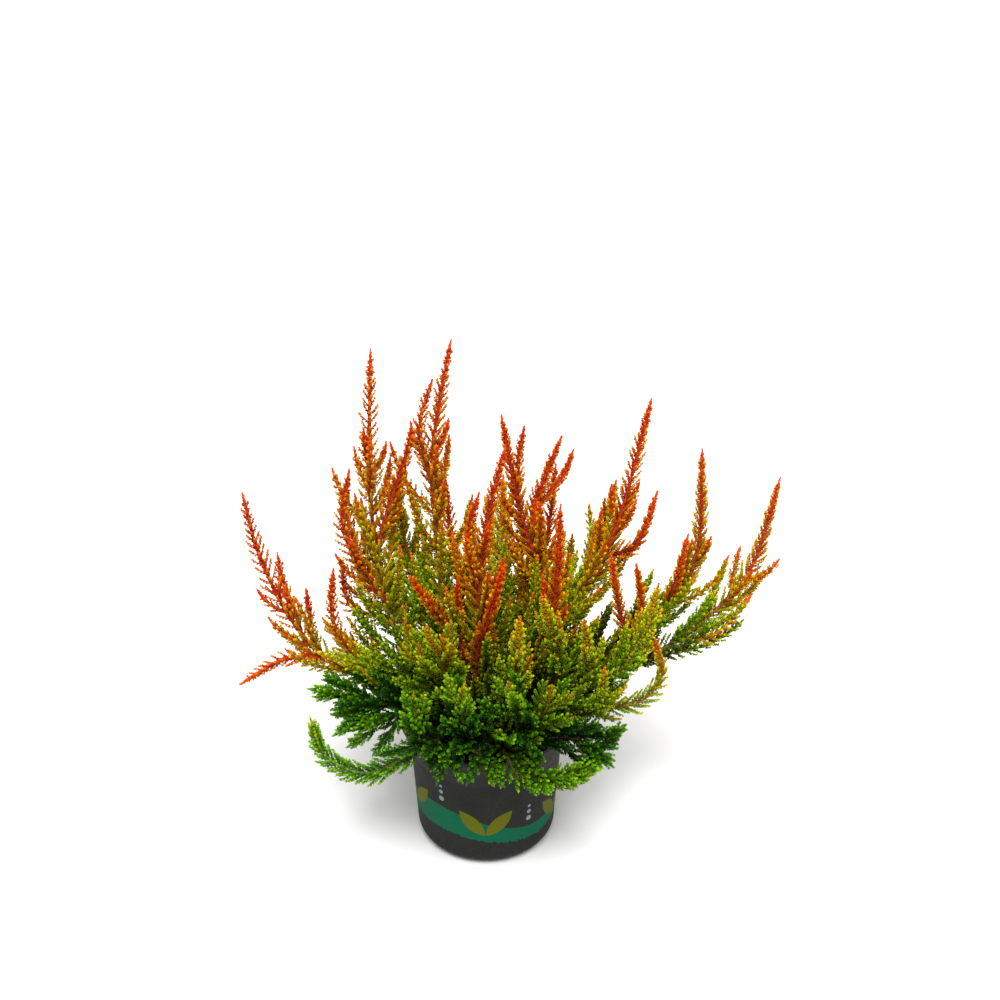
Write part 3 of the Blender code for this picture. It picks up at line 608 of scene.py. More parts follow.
# The far side of the plant grows by one rule: each of its stems is a tall shoot with a shorter one
# and a low one beside it. The rows give a shoot's fork on the tall one, its turn from it, its reach,
# and then shares of that reach with the heights there, the last at its tip; again in millimetres.
BACK_STEMS = 6
BACK_FIRST_AZIMUTH = math.radians(50)
BACK_LAST_AZIMUTH = math.radians(138)
BACK_ROOT_RADIUS = 28.5
BACK_REACH_SPREAD = 12
BACK_HEIGHT_SPREAD = 12
BACK_TALL = (None, 0.0, 128, [(0.50, 122), (0.84, 150), (1.0, 198)])
BACK_SHORT = (0.40, 0.16, 112, [(0.92, 132), (1.0, 164)])
BACK_LOW = (0.22, -0.15, 94, [(0.80, 104), (1.0, 112)])


def polar(radius, azimuth, height):
    return (radius * math.cos(azimuth), radius * math.sin(azimuth), height)


def back_stems():
    """The stems of the far side, fanned out evenly, each drawn a little longer or shorter."""
    draw = random.Random(PLANT_SEED)
    stems = {}
    for number in range(BACK_STEMS):
        share = number / (BACK_STEMS - 1)
        azimuth = BACK_FIRST_AZIMUTH + share * (BACK_LAST_AZIMUTH - BACK_FIRST_AZIMUTH)
        rise = draw.uniform(-BACK_HEIGHT_SPREAD, BACK_HEIGHT_SPREAD)
        stretch = draw.uniform(-BACK_REACH_SPREAD, BACK_REACH_SPREAD)
        shoots = []
        for fork_share, turn, reach, stops in (BACK_TALL, BACK_SHORT, BACK_LOW):
            fork = None if fork_share is None else (0, fork_share)
            reach = reach + stretch if fork is None else reach
            points = [polar(share_out * reach, azimuth + turn, height) for share_out, height in stops]
            if fork is None:
                points[-1] = (*points[-1][:2], points[-1][2] + rise)
            shoots.append((fork, points))
        kind = "ember" if number % 2 else "amber"
        stems[f"stem_back_{number + 1}"] = (kind, polar(BACK_ROOT_RADIUS, azimuth, 0.0)[:2], shoots)
    return stems


def smooth_curve(points):
    """A Catmull-Rom curve through the given points; the first and last only set its slopes."""
    t = np.linspace(0, 1, CURVE_STEPS, endpoint=False)[:, None]
    spans = []
    for before, start, end, after in zip(points, points[1:], points[2:], points[3:]):
        bend = 2 * before - 5 * start + 4 * end - after
        twist = 3 * start - before - 3 * end + after
        spans.append((2 * start + (end - before) * t + bend * t ** 2 + twist * t ** 3) / 2)
    return np.vstack(spans + [points[-2][None, :]])


def unit(vectors):
    return vectors / np.linalg.norm(vectors, axis=-1, keepdims=True)


class Twig:
    """A path with its lengths, its directions, and two sides carried along it without twisting."""

    def __init__(self, path, foot_radius, tip_radius):
        self.path = path
        steps = np.diff(path, axis=0)
        self.at = np.concatenate([[0.0], np.cumsum(np.linalg.norm(steps, axis=1))])
        self.length = self.at[-1]
        self.ahead = unit(np.gradient(path, self.at, axis=0))
        self.side = self.carried_side()
        self.foot_radius = foot_radius
        self.tip_radius = tip_radius

    def carried_side(self):
        first = np.cross(self.ahead[0], OFF_AXIS)
        sides = [first / np.linalg.norm(first)]
        for ahead in self.ahead[1:]:
            side = sides[-1] - ahead * (sides[-1] @ ahead)
            sides.append(side / np.linalg.norm(side))
        return np.array(sides)

    def radius(self, distance):
        share = (distance / self.length) ** TAPER_POWER
        return self.foot_radius + (self.tip_radius - self.foot_radius) * share

    def stations(self, distances):
        """Places, directions and the two sides at distances along the twig."""
        columns = (*self.path.T, *self.ahead.T, *self.side.T)
        blend = [np.interp(distances, self.at, column) for column in columns]
        places, ahead, side = (np.array(blend[first:first + 3]).T for first in (0, 3, 6))
        ahead = unit(ahead)
        side = unit(side - ahead * np.sum(side * ahead, axis=1, keepdims=True))
        return places, ahead, side, np.cross(ahead, side)

    def station(self, distance):
        """The place, the direction and the two sides at one distance."""
        return [rows[0] for rows in self.stations(np.array([distance]))]


def grow_twigs(root, shoots):
    """One stem's main twigs, now in metres: the first from its hole, the others from their forks."""
    twigs = []
    root = np.array(root) / 1000
    for fork, points in shoots:
        ahead = [np.array(point) / 1000 for point in points]
        beyond = ahead[-1] + (ahead[-1] - ahead[-2]) / 2
        if fork is None:
            foot = np.array([*root, SOIL_CENTRE_HEIGHT - HOLE_DEPTH + SOIL_GAP])
            collar = np.array([*root, SOIL_CENTRE_HEIGHT + STEM_COLLAR])
            below = collar - np.array([0, 0, np.linalg.norm(ahead[0] - collar)])
            path = np.vstack([foot, smooth_curve([below, collar] + ahead + [beyond])])
            twigs.append(Twig(path, STEM_FOOT_RADIUS, TIP_RADIUS))
        else:
            parent = twigs[fork[0]]
            start, direction = parent.station(fork[1] * parent.length)[:2]
            behind = start - direction * np.linalg.norm(ahead[0] - start)
            path = smooth_curve([behind, start] + ahead + [beyond])
            twigs.append(Twig(path, SIDE_FOOT_RADIUS, TIP_RADIUS))
    return twigs


# How warm the leaves are, from 0 for green to 1 for red-orange, at distances from a shoot's tip, and
# how much of that is left low down. The tips of side shoots are a little warmer again.
WARMTH = {
    "ember": ([0.0, 0.03, 0.07, 0.12, 0.20], [0.98, 0.90, 0.76, 0.53, 0.22]),
    "amber": ([0.0, 0.015, 0.04, 0.08, 0.13], [0.62, 0.45, 0.30, 0.20, 0.12]),
    "green": ([0.0, 0.010, 0.03, 0.05, 0.08], [0.40, 0.33, 0.18, 0.06, 0.01]),
}
WARMTH_BY_HEIGHT = ([0.085, 0.142], [0.14, 1.0])
TIP_GLOW = {"ember": 0.22, "amber": 0.09, "green": 0.04}
TIP_GLOW_LENGTH = 0.014

# Scale leaves: blunt, folded along a keel, and set in crossed pairs up an axis. Each differs a
# little from the next in its turn, lean, size, warmth and brightness.
LEAF_PAIR_SPACING = 0.00105
CLADDING_SPACING = 0.0012
LEAF_LENGTH = 0.0022
LEAF_WIDTH = 0.0017
LEAF_CORNERS = np.array([(0, 0, 0), (0.60, 0.5, -0.28), (0.60, -0.5, -0.28), (1, 0, -0.18)])
LEAF_FACES = np.array([(0, 2, 3), (0, 3, 1)])
LEAF_BASE_DEPTH = 0.6
LEAF_TURN_SPREAD = 0.16
LEAF_LEAN_SPREAD = 0.10
LEAF_SIZE_SPREAD = (0.85, 1.15)
LEAF_WARMTH_SPREAD = 0.045
# Leaves nearer a tip are brighter, partly as fresh growth and partly as painted light
FRESH_AND_LIT_SHARE = 0.48

# The leaves at a branchlet's tip are nearer to yellow, less so on green shoots, and those on the
# shoot's own axis are redder. Near a tip they are smaller and lean out less.
BRANCHLET_TIP_WARMTH = ([0.0, 0.16, 0.50], [0.20, 0.41, 0.47])
BRANCHLET_TIP_PULL = 0.70
FULL_PULL_LENGTH = 0.006
AXIS_WARMTH_GAIN = 1.55
# Axis leaves near a shoot's tip are brighter, partly as fresh growth and partly as painted light
AXIS_FRESH_LENGTH = 0.020
AXIS_LEAF_LEANS = ([0.0, 0.004, 0.02], [0.24, 0.50, 0.50])
AXIS_LEAF_SIZES = ([0.0, 0.004, 0.02], [0.90, 1.25, 1.45])
BRANCHLET_LEAF_LEANS = ([0.0, 0.7, 1.0], [0.64, 0.62, 0.44])
BRANCHLET_LEAF_SIZES = ([0.0, 0.3, 0.8, 1.0], [0.75, 0.95, 1.0, 0.90])

# Painted shade: the leaves at a branchlet's foot are darkened, most of all on green shoots, and so
# are those in the middle of the plant, less so towards a branchlet's tip
FOOT_SHADE = ([0.0, 0.30, 0.60, 1.0], [0.88, 0.74, 0.56, 0.40])
FOOT_SHADE_POWER = 1.2
PLANT_MIDDLE = np.array([0.010, -0.012, 0.080])
PLANT_REACH = np.array([0.102, 0.082, 0.082])
MIDDLE_DEPTH = 1.25
BRANCHLET_TIP_LIGHT = 0.3

# Branchlets by distance from the shoot's tip: a spike has leaves alone at its tip, and then longer
# and longer branchlets. A side shoot is a smaller spike. Pairs cross at right angles on a warm shoot
# and lie flatter on a green one, like a frond.
BARE_TIP = 0.007
SPIKE_LENGTHS = {
    "ember": ([0.0, 0.012, 0.035, 0.070, 0.110], [0.0016, 0.0038, 0.0078, 0.0115, 0.0130]),
    "amber": ([0.0, 0.010, 0.025, 0.050, 0.090], [0.0018, 0.0045, 0.0080, 0.0105, 0.0120]),
    "green": ([0.0, 0.008, 0.020, 0.040, 0.080], [0.0020, 0.0052, 0.0085, 0.0105, 0.0115]),
}
SPIKE_SPACING = ([0.0, 0.040, 0.120], [0.0020, 0.0027, 0.0040])
SIDE_LENGTHS = {
    "ember": ([0.0, 0.010, 0.025, 0.050], [0.0016, 0.0042, 0.0062, 0.0075]),
    "amber": ([0.0, 0.010, 0.025, 0.050], [0.0018, 0.0046, 0.0070, 0.0085]),
    "green": ([0.0, 0.008, 0.020, 0.040], [0.0022, 0.0060, 0.0085, 0.0100]),
}
SIDE_SPACING = ([0.0, 0.050], [0.0023, 0.0030])
COMB_SPACING = ([0.0, 0.050], [0.0017, 0.0021])
BRANCHLET_LEANS = ([0.0, 0.06], [0.60, 0.86])
PAIR_CROSSING = {"ember": math.pi / 2, "amber": 1.3, "green": 0.8}
BRANCHLET_RADIUS = 0.0006
BRANCHLET_LIFT = 0.5
BRANCHLET_BEND = 0.5
BRANCHLET_TURN_SPREAD = 0.16
BRANCHLET_LEAN_SPREAD = 0.07
BRANCHLET_LENGTH_SPREAD = (0.80, 1.12)
BRANCHLET_SPACING_SPREAD = (0.85, 1.15)

# Side shoots, which fill the plant out below its spikes: for each kind of stem, how far from the tip
# they start and how far apart they fork; then their lengths by distance from the tip
SIDE_SHOOTS = {"ember": (0.074, 0.0090), "amber": (0.030, 0.0075), "green": (0.018, 0.0056)}
SIDE_SHOOT_LENGTHS = {
    "ember": ([0.070, 0.100, 0.140, 0.200], [0.024, 0.042, 0.054, 0.060]),
    "amber": ([0.016, 0.040, 0.080, 0.120], [0.012, 0.024, 0.040, 0.050]),
    "green": ([0.015, 0.030, 0.060, 0.090], [0.020, 0.034, 0.042, 0.046]),
}
SIDE_SHOOT_LEAN = 0.66
SIDE_SHOOT_LIFT = {"ember": 1.5, "amber": 0.8, "green": -0.10}
SIDE_SHOOT_BEND = 0.75
SIDE_SHOOT_STEPS = 10
FEWEST_PATH_POINTS = 5
SIDE_SHOOT_LEAN_SPREAD = 0.15
SIDE_SHOOT_TURN_SPREAD = 0.3
SIDE_SHOOT_LENGTH_SPREAD = (0.75, 1.2)
SIDE_SHOOT_SPACING_SPREAD = (0.8, 1.2)
GOLDEN_ANGLE = math.radians(137.5)
SIDE_SHOOT_SEED = 238
SIDE_SHOOT_RADIUS = 0.0009
SIDE_SHOOT_FOOT_YOUTH = 0.5
SIDE_SHOOT_LEAVES_FROM = 0.002
SIDE_SHOOT_BRANCHLETS_FROM = 0.003
LOWEST_SIDE_SHOOT = 0.12
LOWEST_HANG = 0.082
POT_MARGIN = 0.001

# How far out side shoots may reach: to the front at any height, and low down inside a rounded box
FRONT_REACH = -0.0795
LOW_HEIGHT = 0.110
LOW_CENTRE = -0.006
LOW_REACH = (0.090, 0.0795)
BOX_POWER = 4

# The material slots of a stem's mesh, and the values that each of its points carries; inner is
# its painted shade
LEAF = 0
BARK = 1
LOOKS = ("warmth", "tip", "variation", "inner")
EVEN_VARIATION = 0.5


class Foliage:
    """The leaves and twigs of one stem, gathered row by row and then turned into one mesh."""

    def __init__(self):
        self.corners = []
        self.faces = []
        self.count = 0
        self.looks = []
        self.kinds = []

    def add(self, corners, faces, looks, kind):
        self.corners.append(corners)
        self.faces.append(faces + self.count)
        self.looks.append(looks)
        self.kinds.append(np.full(len(faces), kind))
        self.count += len(corners)

    def add_twig(self, twig, sides, youth, stations=None, kind=BARK, inner=0.0):
        """A round twig, closed to a point at its tip; youth, at its foot and tip, is its warmth."""
        at = twig.at if stations is None else np.linspace(0, twig.length, stations)
        places, _, side, other = twig.stations(at)
        turns = np.arange(sides) * math.tau / sides
        across = np.cos(turns)[None, :, None] * side[:, None, :]
        over = np.sin(turns)[None, :, None] * other[:, None, :]
        corners = (places[:, None, :] + twig.radius(at)[:, None, None] * (across + over)).reshape(-1, 3)
        corners = np.vstack([corners, places[-1] + twig.ahead[-1] * twig.tip_radius])
        here = np.arange(sides)
        after = (here + 1) % sides
        low = np.arange(len(at) - 1)[:, None] * sides
        quads = [low + here, low + after, low + sides + after, low + sides + here]
        quads = np.stack(quads, axis=-1).reshape(-1, 4)
        last = (len(at) - 1) * sides
        cap = np.stack([last + here, last + after, np.full(sides, last + sides)], axis=-1)
        faces = np.vstack([quads[:, [0, 1, 2]], quads[:, [0, 2, 3]], cap])
        looks = np.zeros((len(corners), len(LOOKS)))
        looks[:-1, 0] = np.repeat(np.interp(at, [0, twig.length], youth), sides)
        looks[-1, 0] = youth[1]
        looks[:, 2] = EVEN_VARIATION
        looks[:, 3] = inner
        self.add(corners, faces, looks, kind)

    def add_leaves(self, twig, distances, leans, sizes, warmth, inner, fresh, draw):
        """Crossed pairs of scale leaves at distances along a twig; fresh ones are brighter, partly as new
        growth and partly as painted light, and inner is their painted shade.
        """
        places, ahead, side, other = twig.stations(distances)
        count = len(distances)
        turns = np.arange(count) * math.pi / 2 + draw.uniform(0, math.tau)
        turns = turns + draw.normal(0, LEAF_TURN_SPREAD, count)
        for sign in (1, -1):
            out = sign * (np.cos(turns)[:, None] * side + np.sin(turns)[:, None] * other)
            lean = (leans + draw.normal(0, LEAF_LEAN_SPREAD, count))[:, None]
            along = ahead * np.cos(lean) + out * np.sin(lean)
            outward = out * np.cos(lean) - ahead * np.sin(lean)
            axes = np.stack([along, np.cross(outward, along), outward], axis=1)
            size = (sizes * draw.uniform(*LEAF_SIZE_SPREAD, count))[:, None]
            scale = np.hstack([LEAF_LENGTH * size, LEAF_WIDTH * size, LEAF_WIDTH * size])
            base = places + out * LEAF_BASE_DEPTH * twig.radius(distances)[:, None]
            corners = np.einsum("ck,nk,nkx->ncx", LEAF_CORNERS, scale, axes) + base[:, None, :]
            looks = np.zeros((count, len(LEAF_CORNERS), len(LOOKS)))
            looks[:, :, 0] = (warmth + draw.normal(0, LEAF_WARMTH_SPREAD, count))[:, None]
            looks[:, :, 1] = LEAF_CORNERS[:, 0]
            looks[:, :, 2] = ((1 - FRESH_AND_LIT_SHARE) * draw.uniform(0, 1, count) + FRESH_AND_LIT_SHARE * fresh)[:, None]
            looks[:, :, 3] = inner
            faces = LEAF_FACES[None] + len(LEAF_CORNERS) * np.arange(count)[:, None, None]
            self.add(corners.reshape(-1, 3), faces.reshape(-1, 3), looks.reshape(-1, len(LOOKS)), LEAF)

    def mesh(self, name):
        mesh = bpy.data.meshes.new(name)
        mesh.from_pydata(np.vstack(self.corners), [], np.vstack(self.faces))
        for look, values in zip(LOOKS, np.vstack(self.looks).T):
            attribute = mesh.attributes.new(look, "FLOAT", "POINT")
            attribute.data.foreach_set("value", values.astype(np.float32))
        kinds = np.concatenate(self.kinds)
        mesh.polygons.foreach_set("material_index", kinds.astype(np.int32))
        mesh.polygons.foreach_set("use_smooth", kinds == BARK)
        mesh.update()
        return mesh


def painted_shade_depth(places):
    """Painted shade: 1 in the middle of the plant, near the soil, falling to 0 at its outside."""
    reach = (places - PLANT_MIDDLE) / PLANT_REACH
    return np.clip(MIDDLE_DEPTH - np.linalg.norm(reach, axis=-1), 0, 1)


def meets_pot(places):
    """Whether any place lies in the pot's wall or in the soil, or very near them."""
    reach = np.hypot(places[:, 0], places[:, 1])
    in_wall = (reach > COLLAR_START_RADIUS - WALL - POT_MARGIN) & (reach < RIM_RADIUS + POT_MARGIN)
    in_wall &= places[:, 2] < POT_HEIGHT + POT_MARGIN
    in_soil = (reach < RIM_RADIUS) & (places[:, 2] < SOIL_CENTRE_HEIGHT + POT_MARGIN)
    return bool((in_wall | in_soil).any())


def bent_path(start, direction, towards, length, bend, steps):
    """A path that starts in one direction and bends towards another."""
    shares = (np.arange(steps) + 0.5)[:, None] / steps
    headings = unit(direction * (1 - bend * shares) + towards * bend * shares)
    return np.vstack([start, start + np.cumsum(headings, axis=0) * length / steps])


def leaning(axes, turn, lean, sign=1):
    """The heading of what forks from a twig, out to one side of it; axes are the twig's there."""
    ahead, side, other = axes
    out = sign * (math.cos(turn) * side + math.sin(turn) * other)
    return ahead * math.cos(lean) + out * math.sin(lean)


def add_branchlet(foliage, start, direction, towards, length, warmth, draw):
    """A short twig clad in scale leaves, closed by the leaves at its tip."""
    path = bent_path(start, direction, towards, length, BRANCHLET_BEND, 4)
    if meets_pot(path[2:]):
        return
    twig = Twig(path, BRANCHLET_RADIUS, BRANCHLET_RADIUS / 2)
    count = max(3, round(length / LEAF_PAIR_SPACING))
    share = (np.arange(count) + 0.5) / count
    leans = np.interp(share, *BRANCHLET_LEAF_LEANS)
    sizes = np.interp(share, *BRANCHLET_LEAF_SIZES)
    pull = BRANCHLET_TIP_PULL * min(1.0, length / FULL_PULL_LENGTH)
    tints = warmth + pull * share * (np.interp(warmth, *BRANCHLET_TIP_WARMTH) - warmth)
    # Painted shade: deep in the plant and at the branchlet's foot, less towards its lit tip
    depth = painted_shade_depth(path[-1]) * (1.0 - BRANCHLET_TIP_LIGHT * share)
    foot_shade = np.interp(warmth, *FOOT_SHADE) * (1 - share) ** FOOT_SHADE_POWER
    inner = 1 - (1 - depth) * (1 - foot_shade)
    foliage.add_twig(twig, 3, (warmth, tints[-1]), 2, LEAF, inner.mean())
    foliage.add_leaves(twig, share * length, leans, sizes, tints, inner[:, None], share ** 2, draw)


def add_cladding(foliage, twig, start, warmth_at, draw):
    """The scale leaves that lie close along a twig itself, a little warmer than its branchlets."""
    distances = np.arange(start, twig.length, CLADDING_SPACING)
    from_tip = twig.length - distances
    leans = np.interp(from_tip, *AXIS_LEAF_LEANS)
    sizes = np.interp(from_tip, *AXIS_LEAF_SIZES)
    places = twig.stations(distances)[0]
    tints = warmth_at(from_tip, places[:, 2]) * AXIS_WARMTH_GAIN
    # Painted shade deep in the plant; brighter near the shoot's tip, partly as fresh growth and partly as
    # painted light
    inner = painted_shade_depth(places)[:, None]
    fresh = np.exp(-from_tip / AXIS_FRESH_LENGTH)
    foliage.add_leaves(twig, distances, leans, sizes, tints, inner, fresh, draw)


def add_branchlets(foliage, twig, start, warmth_at, lengths, spacing, crossing, draw):
    """Crossed pairs of branchlets from a twig's bare tip down to where it is leafy."""
    distance = twig.length - BARE_TIP
    number = 0
    while distance > start:
        from_tip = twig.length - distance
        place, *axes = twig.station(distance)
        towards = unit(axes[0] + np.array([0, 0, BRANCHLET_LIFT]))
        turn = crossing * (number % 2 - 0.5) + draw.normal(0, BRANCHLET_TURN_SPREAD)
        for sign in (1, -1):
            length = np.interp(from_tip, *lengths) * draw.uniform(*BRANCHLET_LENGTH_SPREAD)
            lean = np.interp(from_tip, *BRANCHLET_LEANS) + draw.normal(0, BRANCHLET_LEAN_SPREAD)
            heading = leaning(axes, turn, lean, sign)
            add_branchlet(foliage, place, heading, towards, length, warmth_at(from_tip, place[2]), draw)
        distance -= np.interp(from_tip, *spacing) * draw.uniform(*BRANCHLET_SPACING_SPREAD)
        number += 1


def nipped(path):
    """A side shoot's path up to where it would reach too far out."""
    x, y, z = path.T
    wide = ((x - LOW_CENTRE) / LOW_REACH[0]) ** BOX_POWER + (y / LOW_REACH[1]) ** BOX_POWER > 1
    too_far = np.flatnonzero((z < LOW_HEIGHT) & wide | (y < FRONT_REACH))
    return path[:too_far[0]] if len(too_far) else path


def side_shoot_paths(twig, kind, seed, size):
    """The forks and paths of the smaller spikes that fork from a main twig, by turns round it.

    One that would hang too low, meet the pot or be too short tries the next quarter turn."""
    draw = random.Random(seed)
    first, spacing = SIDE_SHOOTS[kind]
    distance = twig.length - first
    turn = draw.uniform(-1, 1) * math.pi
    shoots = []
    while distance > LOWEST_SIDE_SHOOT * twig.length:
        from_tip = twig.length - distance
        place, *axes = twig.station(distance)
        towards = unit(axes[0] + np.array([0, 0, SIDE_SHOOT_LIFT[kind]]))
        lean = SIDE_SHOOT_LEAN + draw.uniform(-SIDE_SHOOT_LEAN_SPREAD, SIDE_SHOOT_LEAN_SPREAD)
        length = np.interp(from_tip, *SIDE_SHOOT_LENGTHS[kind])
        length = length * draw.uniform(*SIDE_SHOOT_LENGTH_SPREAD) * size
        for quarter in range(4):
            heading = leaning(axes, turn + quarter * math.pi / 2, lean)
            path = bent_path(place, heading, towards, length, SIDE_SHOOT_BEND, SIDE_SHOOT_STEPS)
            path = nipped(path)
            long_enough = len(path) >= FEWEST_PATH_POINTS
            if long_enough and path[:, 2].min() > LOWEST_HANG and not meets_pot(path[3:]):
                shoots.append((from_tip, path))
                break
        distance -= spacing * draw.uniform(*SIDE_SHOOT_SPACING_SPREAD)
        turn += GOLDEN_ANGLE + draw.uniform(-SIDE_SHOOT_TURN_SPREAD, SIDE_SHOOT_TURN_SPREAD)
    return shoots


def shoot_warmth(kind, from_tip, height):
    """The warmth of a main shoot's leaves, which fades down the shoot and towards the pot."""
    return np.interp(from_tip, *WARMTH[kind]) * np.interp(height, *WARMTH_BY_HEIGHT)


def add_side_shoots(foliage, twig, kind, seed, draw, size, extra):
    """The side shoots of a main twig, as warm as it is at their forks, and warmer at their tips."""
    for fork_from_tip, path in side_shoot_paths(twig, kind, seed, size):
        shoot = Twig(path, SIDE_SHOOT_RADIUS, TIP_RADIUS)
        local = shoot_warmth(kind, fork_from_tip, path[0][2]) + extra

        def warmth_at(from_tip, height):
            return local + TIP_GLOW[kind] * np.exp(-from_tip / TIP_GLOW_LENGTH)

        foliage.add_twig(shoot, 5, (local * SIDE_SHOOT_FOOT_YOUTH, local), 6)
        add_cladding(foliage, shoot, SIDE_SHOOT_LEAVES_FROM, warmth_at, draw)
        add_branchlets(foliage, shoot, SIDE_SHOOT_BRANCHLETS_FROM, warmth_at, SIDE_LENGTHS[kind],
                       SIDE_SPACING, PAIR_CROSSING[kind], draw)


def clothe_shoot(foliage, twig, kind, leafy_from, seed, draw, size, extra):
    """All that grows on one main twig, from where it is leafy to its tip.

    Size is that of its side shoots; at 0 there are none, and its branchlets stand closer, like the
    teeth of a comb. Its warmth is its kind's and something extra."""
    start = leafy_from * twig.length
    spacing = SPIKE_SPACING if size else COMB_SPACING

    def warmth_at(from_tip, height):
        return shoot_warmth(kind, from_tip, height) + extra

    if size:
        add_side_shoots(foliage, twig, kind, seed, draw, size, extra)
    add_branchlets(foliage, twig, start, warmth_at, SPIKE_LENGTHS[kind], spacing,
                   PAIR_CROSSING[kind], draw)
    add_cladding(foliage, twig, start, warmth_at, draw)


# One stem has shorter side shoots than the others, and one arches out past the pot with none. Some
# shoots, given by their number on their stem, are warmer than others of their kind, or greener.
SIDE_SHOOT_SIZES = {"stem_drooping_left": 0.0, "stem_curled_right": 0.8}
OWN_WARMTH = {
    "stem_skirt_front_right": {1: 0.10},
    "stem_drooping_left": {0: 0.13},
    "stem_drooping_right": {0: 0.14},
    "stem_front_left": {0: 0.12, 1: 0.16},
    "stem_long_left": {0: 0.15, 1: 0.15, 2: 0.50},
    "stem_front_middle": {0: 0.05},
    "stem_long_right": {0: -0.18, 1: -0.14},
    "stem_far_right": {0: -0.20, 1: -0.14},
    "stem_mid_right": {0: -0.16, 1: -0.18},
    "stem_curled_right": {0: 0.22},
    **{f"stem_back_{number}": {0: 0.14} for number in (1, 3, 5)},
}


def stem_mesh(number, name, kind, root, shoots):
    """One stem with all that grows on it; only its first twig stands in old bark at its foot."""
    draw = np.random.default_rng(PLANT_SEED + number)
    foliage = Foliage()
    youngest = WARMTH[kind][1][0]
    foot_youth = 0.0
    leafy_from = STEM_LEAFY_FROM
    size = SIDE_SHOOT_SIZES.get(name, 1.0)
    for shoot_number, twig in enumerate(grow_twigs(root, shoots)):
        foliage.add_twig(twig, TWIG_SIDES, (foot_youth, youngest))
        extra = OWN_WARMTH.get(name, {}).get(shoot_number, 0.0)
        seed = SIDE_SHOOT_SEED + 100 * number + shoot_number
        clothe_shoot(foliage, twig, kind, leafy_from, seed, draw, size, extra)
        foot_youth = FORK_YOUTH * youngest
        leafy_from = SIDE_LEAFY_FROM
    return foliage.mesh(name)


# A scale leaf's colour runs through the season's colours with its warmth, towards its tip's own
# colour at its end, and towards a dark green of painted shade deep in the plant; its hue and
# brightness vary, and its brightness rises at fresh tips, partly as painted light
SEASON = [(0.00, srgb(4, 44, 2)), (0.14, srgb(22, 98, 2)), (0.30, srgb(118, 182, 4)),
          (0.46, srgb(196, 190, 4)), (0.62, srgb(222, 134, 4)), (0.80, srgb(216, 76, 2)),
          (1.00, srgb(220, 38, 2))]
TIP_COLOURS = {"ember": (srgb(244, 160, 12), 0.34), "amber": (srgb(236, 228, 22), 0.60),
               "green": (srgb(130, 195, 20), 0.22)}
PAINTED_SHADE_COLOUR = srgb(12, 20, 5)
PAINTED_SHADE_SHARE = 0.88
LEAF_VALUES = (0.56, 1.42)
LEAF_HUES = (0.490, 0.508)


def leaf_colour_group():
    """The colour of a scale leaf from its warmth, its tip, its own variation, and painted shade by its
    depth.
    """
    sockets = {"Warmth": "Float", "Tip": "Float", "Variation": "Float", "Inner": "Float",
               "Tip Colour": "Color", "Tip Share": "Float"}
    tree, start, end = new_group("leaf_colour", sockets, {"Colour": "Color"})
    given = start.outputs
    season = ramp(tree, given["Warmth"], SEASON)
    tip = maths(tree, "MULTIPLY", maths(tree, "POWER", given["Tip"], 2.0), given["Tip Share"])
    value = spread(tree, given["Variation"], 0.0, 1.0, *LEAF_VALUES)
    hue = spread(tree, given["Variation"], 0.0, 1.0, *LEAF_HUES)
    varied = {"Hue": hue, "Value": value, "Color": mixed(tree, tip, season, given["Tip Colour"])}
    colour = add_node(tree, "HueSaturation", varied).outputs["Color"]
    # Painted shade: a mix towards dark green deep in the plant and at branchlet feet
    inner = maths(tree, "MULTIPLY", given["Inner"], PAINTED_SHADE_SHARE)
    tree.links.new(mixed(tree, inner, colour, PAINTED_SHADE_COLOUR), end.inputs["Colour"])
    return tree


def mesh_value(tree, name):
    return add_node(tree, "Attribute", attribute_name=name).outputs["Fac"]


LEAF_COLOUR = leaf_colour_group()


def leaf_material(kind):
    """Matte scale leaves of one kind of stem."""
    material, tree, shader = new_material(f"{kind}_scale_leaves", 0.6)
    looks = {look.title(): mesh_value(tree, look) for look in LOOKS}
    tip_colour, tip_share = TIP_COLOURS[kind]
    inputs = {**looks, "Tip Colour": tip_colour, "Tip Share": tip_share}
    colour = add_node(tree, "Group", inputs, node_tree=LEAF_COLOUR)
    tree.links.new(colour.outputs["Colour"], shader.inputs["Base Color"])
    shader.inputs["Specular IOR Level"].default_value = 0.12
    return material


BARK_AGES = [(0.0, srgb(70, 48, 32)), (0.35, srgb(104, 58, 26)), (0.7, srgb(150, 44, 14)),
             (1.0, srgb(190, 34, 10))]
RIDGE_SCALE = 900.0
RIDGE_VALUES = (0.7, 1.2)


def twig_material():
    """Bark that is brown on old wood and dark red on young wood, with fine ridges."""
    material, tree, shader = new_material("woody_twig", 0.6)
    bark = ramp(tree, mesh_value(tree, "warmth"), BARK_AGES)
    ridges = noise_at(tree, object_place(tree), RIDGE_SCALE, 3.0)
    value = spread(tree, ridges, 0.3, 0.7, *RIDGE_VALUES)
    shaded = add_node(tree, "HueSaturation", {"Value": value, "Color": bark}).outputs["Color"]
    tree.links.new(shaded, shader.inputs["Base Color"])
    add_bump(tree, shader, ridges, 0.4, 0.0003)
    return material


LEAF_MATERIALS = {kind: leaf_material(kind) for kind in WARMTH}
TWIG_MATERIAL = twig_material()

for number, (name, stem) in enumerate({**STEMS, **back_stems()}.items()):
    kind = stem[0]
    piece = put_in_scene(name.replace("stem_", "leafy_stem_"), stem_mesh(number, name, *stem))
    piece.data.materials.append(LEAF_MATERIALS[kind])
    piece.data.materials.append(TWIG_MATERIAL)
    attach(piece, "root")
    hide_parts(name)

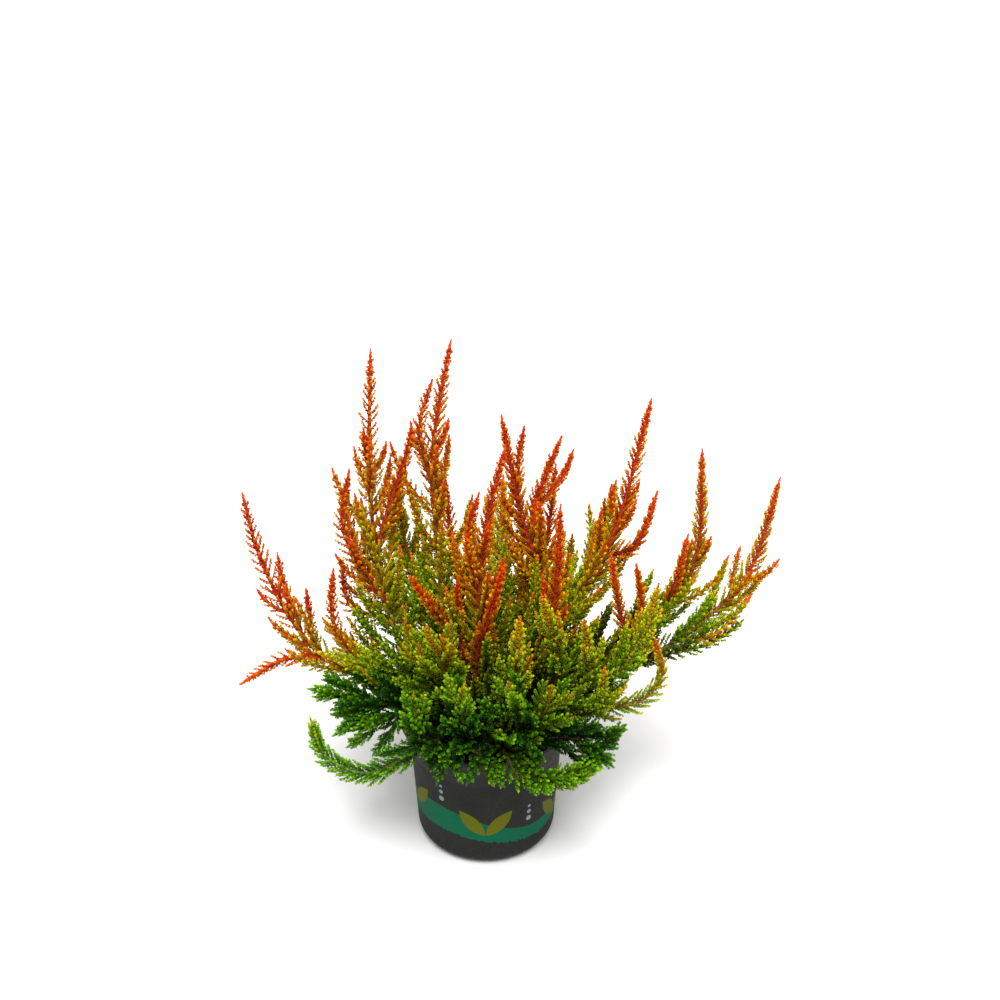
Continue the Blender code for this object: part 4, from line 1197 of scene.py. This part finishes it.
# Stage: a wide pale floor in an even white room, one soft sun and the camera. The camera stands in
# front of the plant, a little to its right, and looks down at it.
FLOOR_SIZE = (12.0, 7.0, 1.0)
FLOOR_MIDDLE = (0.0, 1.0, 0.0)
FLOOR_COLOUR = (0.92, 0.92, 0.92, 1.0)
SUN_FROM = Vector((0.0, -0.42, 1.0))
SUN_STRENGTH = 4.2
SUN_WIDTH = math.radians(40.0)
ROOM_LIGHT = 0.58
ROOM_SEEN = 1.0
CAMERA_PLACE = (0.00905, -0.8614, 0.7174)
CAMERA_PITCH = math.radians(28.83)
CAMERA_LENS = 59.8
SENSOR_WIDTH = 36.0


def add_floor():
    bpy.ops.mesh.primitive_plane_add(size=1.0, location=FLOOR_MIDDLE)
    floor = bpy.context.object
    floor.name = "floor"
    floor.scale = FLOOR_SIZE
    material, _, shader = new_material("pale_floor", 0.9)
    shader.inputs["Base Color"].default_value = FLOOR_COLOUR
    floor.data.materials.append(material)


def add_sun():
    lamp = bpy.data.lights.new("key_light", "SUN")
    lamp.energy = SUN_STRENGTH
    lamp.angle = SUN_WIDTH
    holder = put_in_scene("key_light", lamp)
    holder.rotation_euler = SUN_FROM.to_track_quat("Z", "Y").to_euler()


def add_room():
    """An even white room, which lights the plant less than it shows to the camera."""
    world = bpy.data.worlds.new("pale_room")
    bpy.context.scene.world = world
    world.use_nodes = True
    tree = world.node_tree
    background = tree.nodes["Background"]
    background.inputs["Color"].default_value = (1.0, 1.0, 1.0, 1.0)
    seen = add_node(tree, "LightPath").outputs["Is Camera Ray"]
    strength = spread(tree, seen, 0.0, 1.0, ROOM_LIGHT, ROOM_SEEN)
    tree.links.new(strength, background.inputs["Strength"])


def add_camera():
    camera = bpy.data.cameras.new("camera")
    camera.lens = CAMERA_LENS
    camera.sensor_width = SENSOR_WIDTH
    camera.clip_start = 0.01
    holder = put_in_scene("camera", camera)
    holder.location = CAMERA_PLACE
    holder.rotation_euler = (math.pi / 2 - CAMERA_PITCH, 0.0, 0.0)
    bpy.context.scene.camera = holder


add_floor()
add_sun()
add_room()
bpy.context.scene.view_settings.view_transform = "Standard"
add_camera()
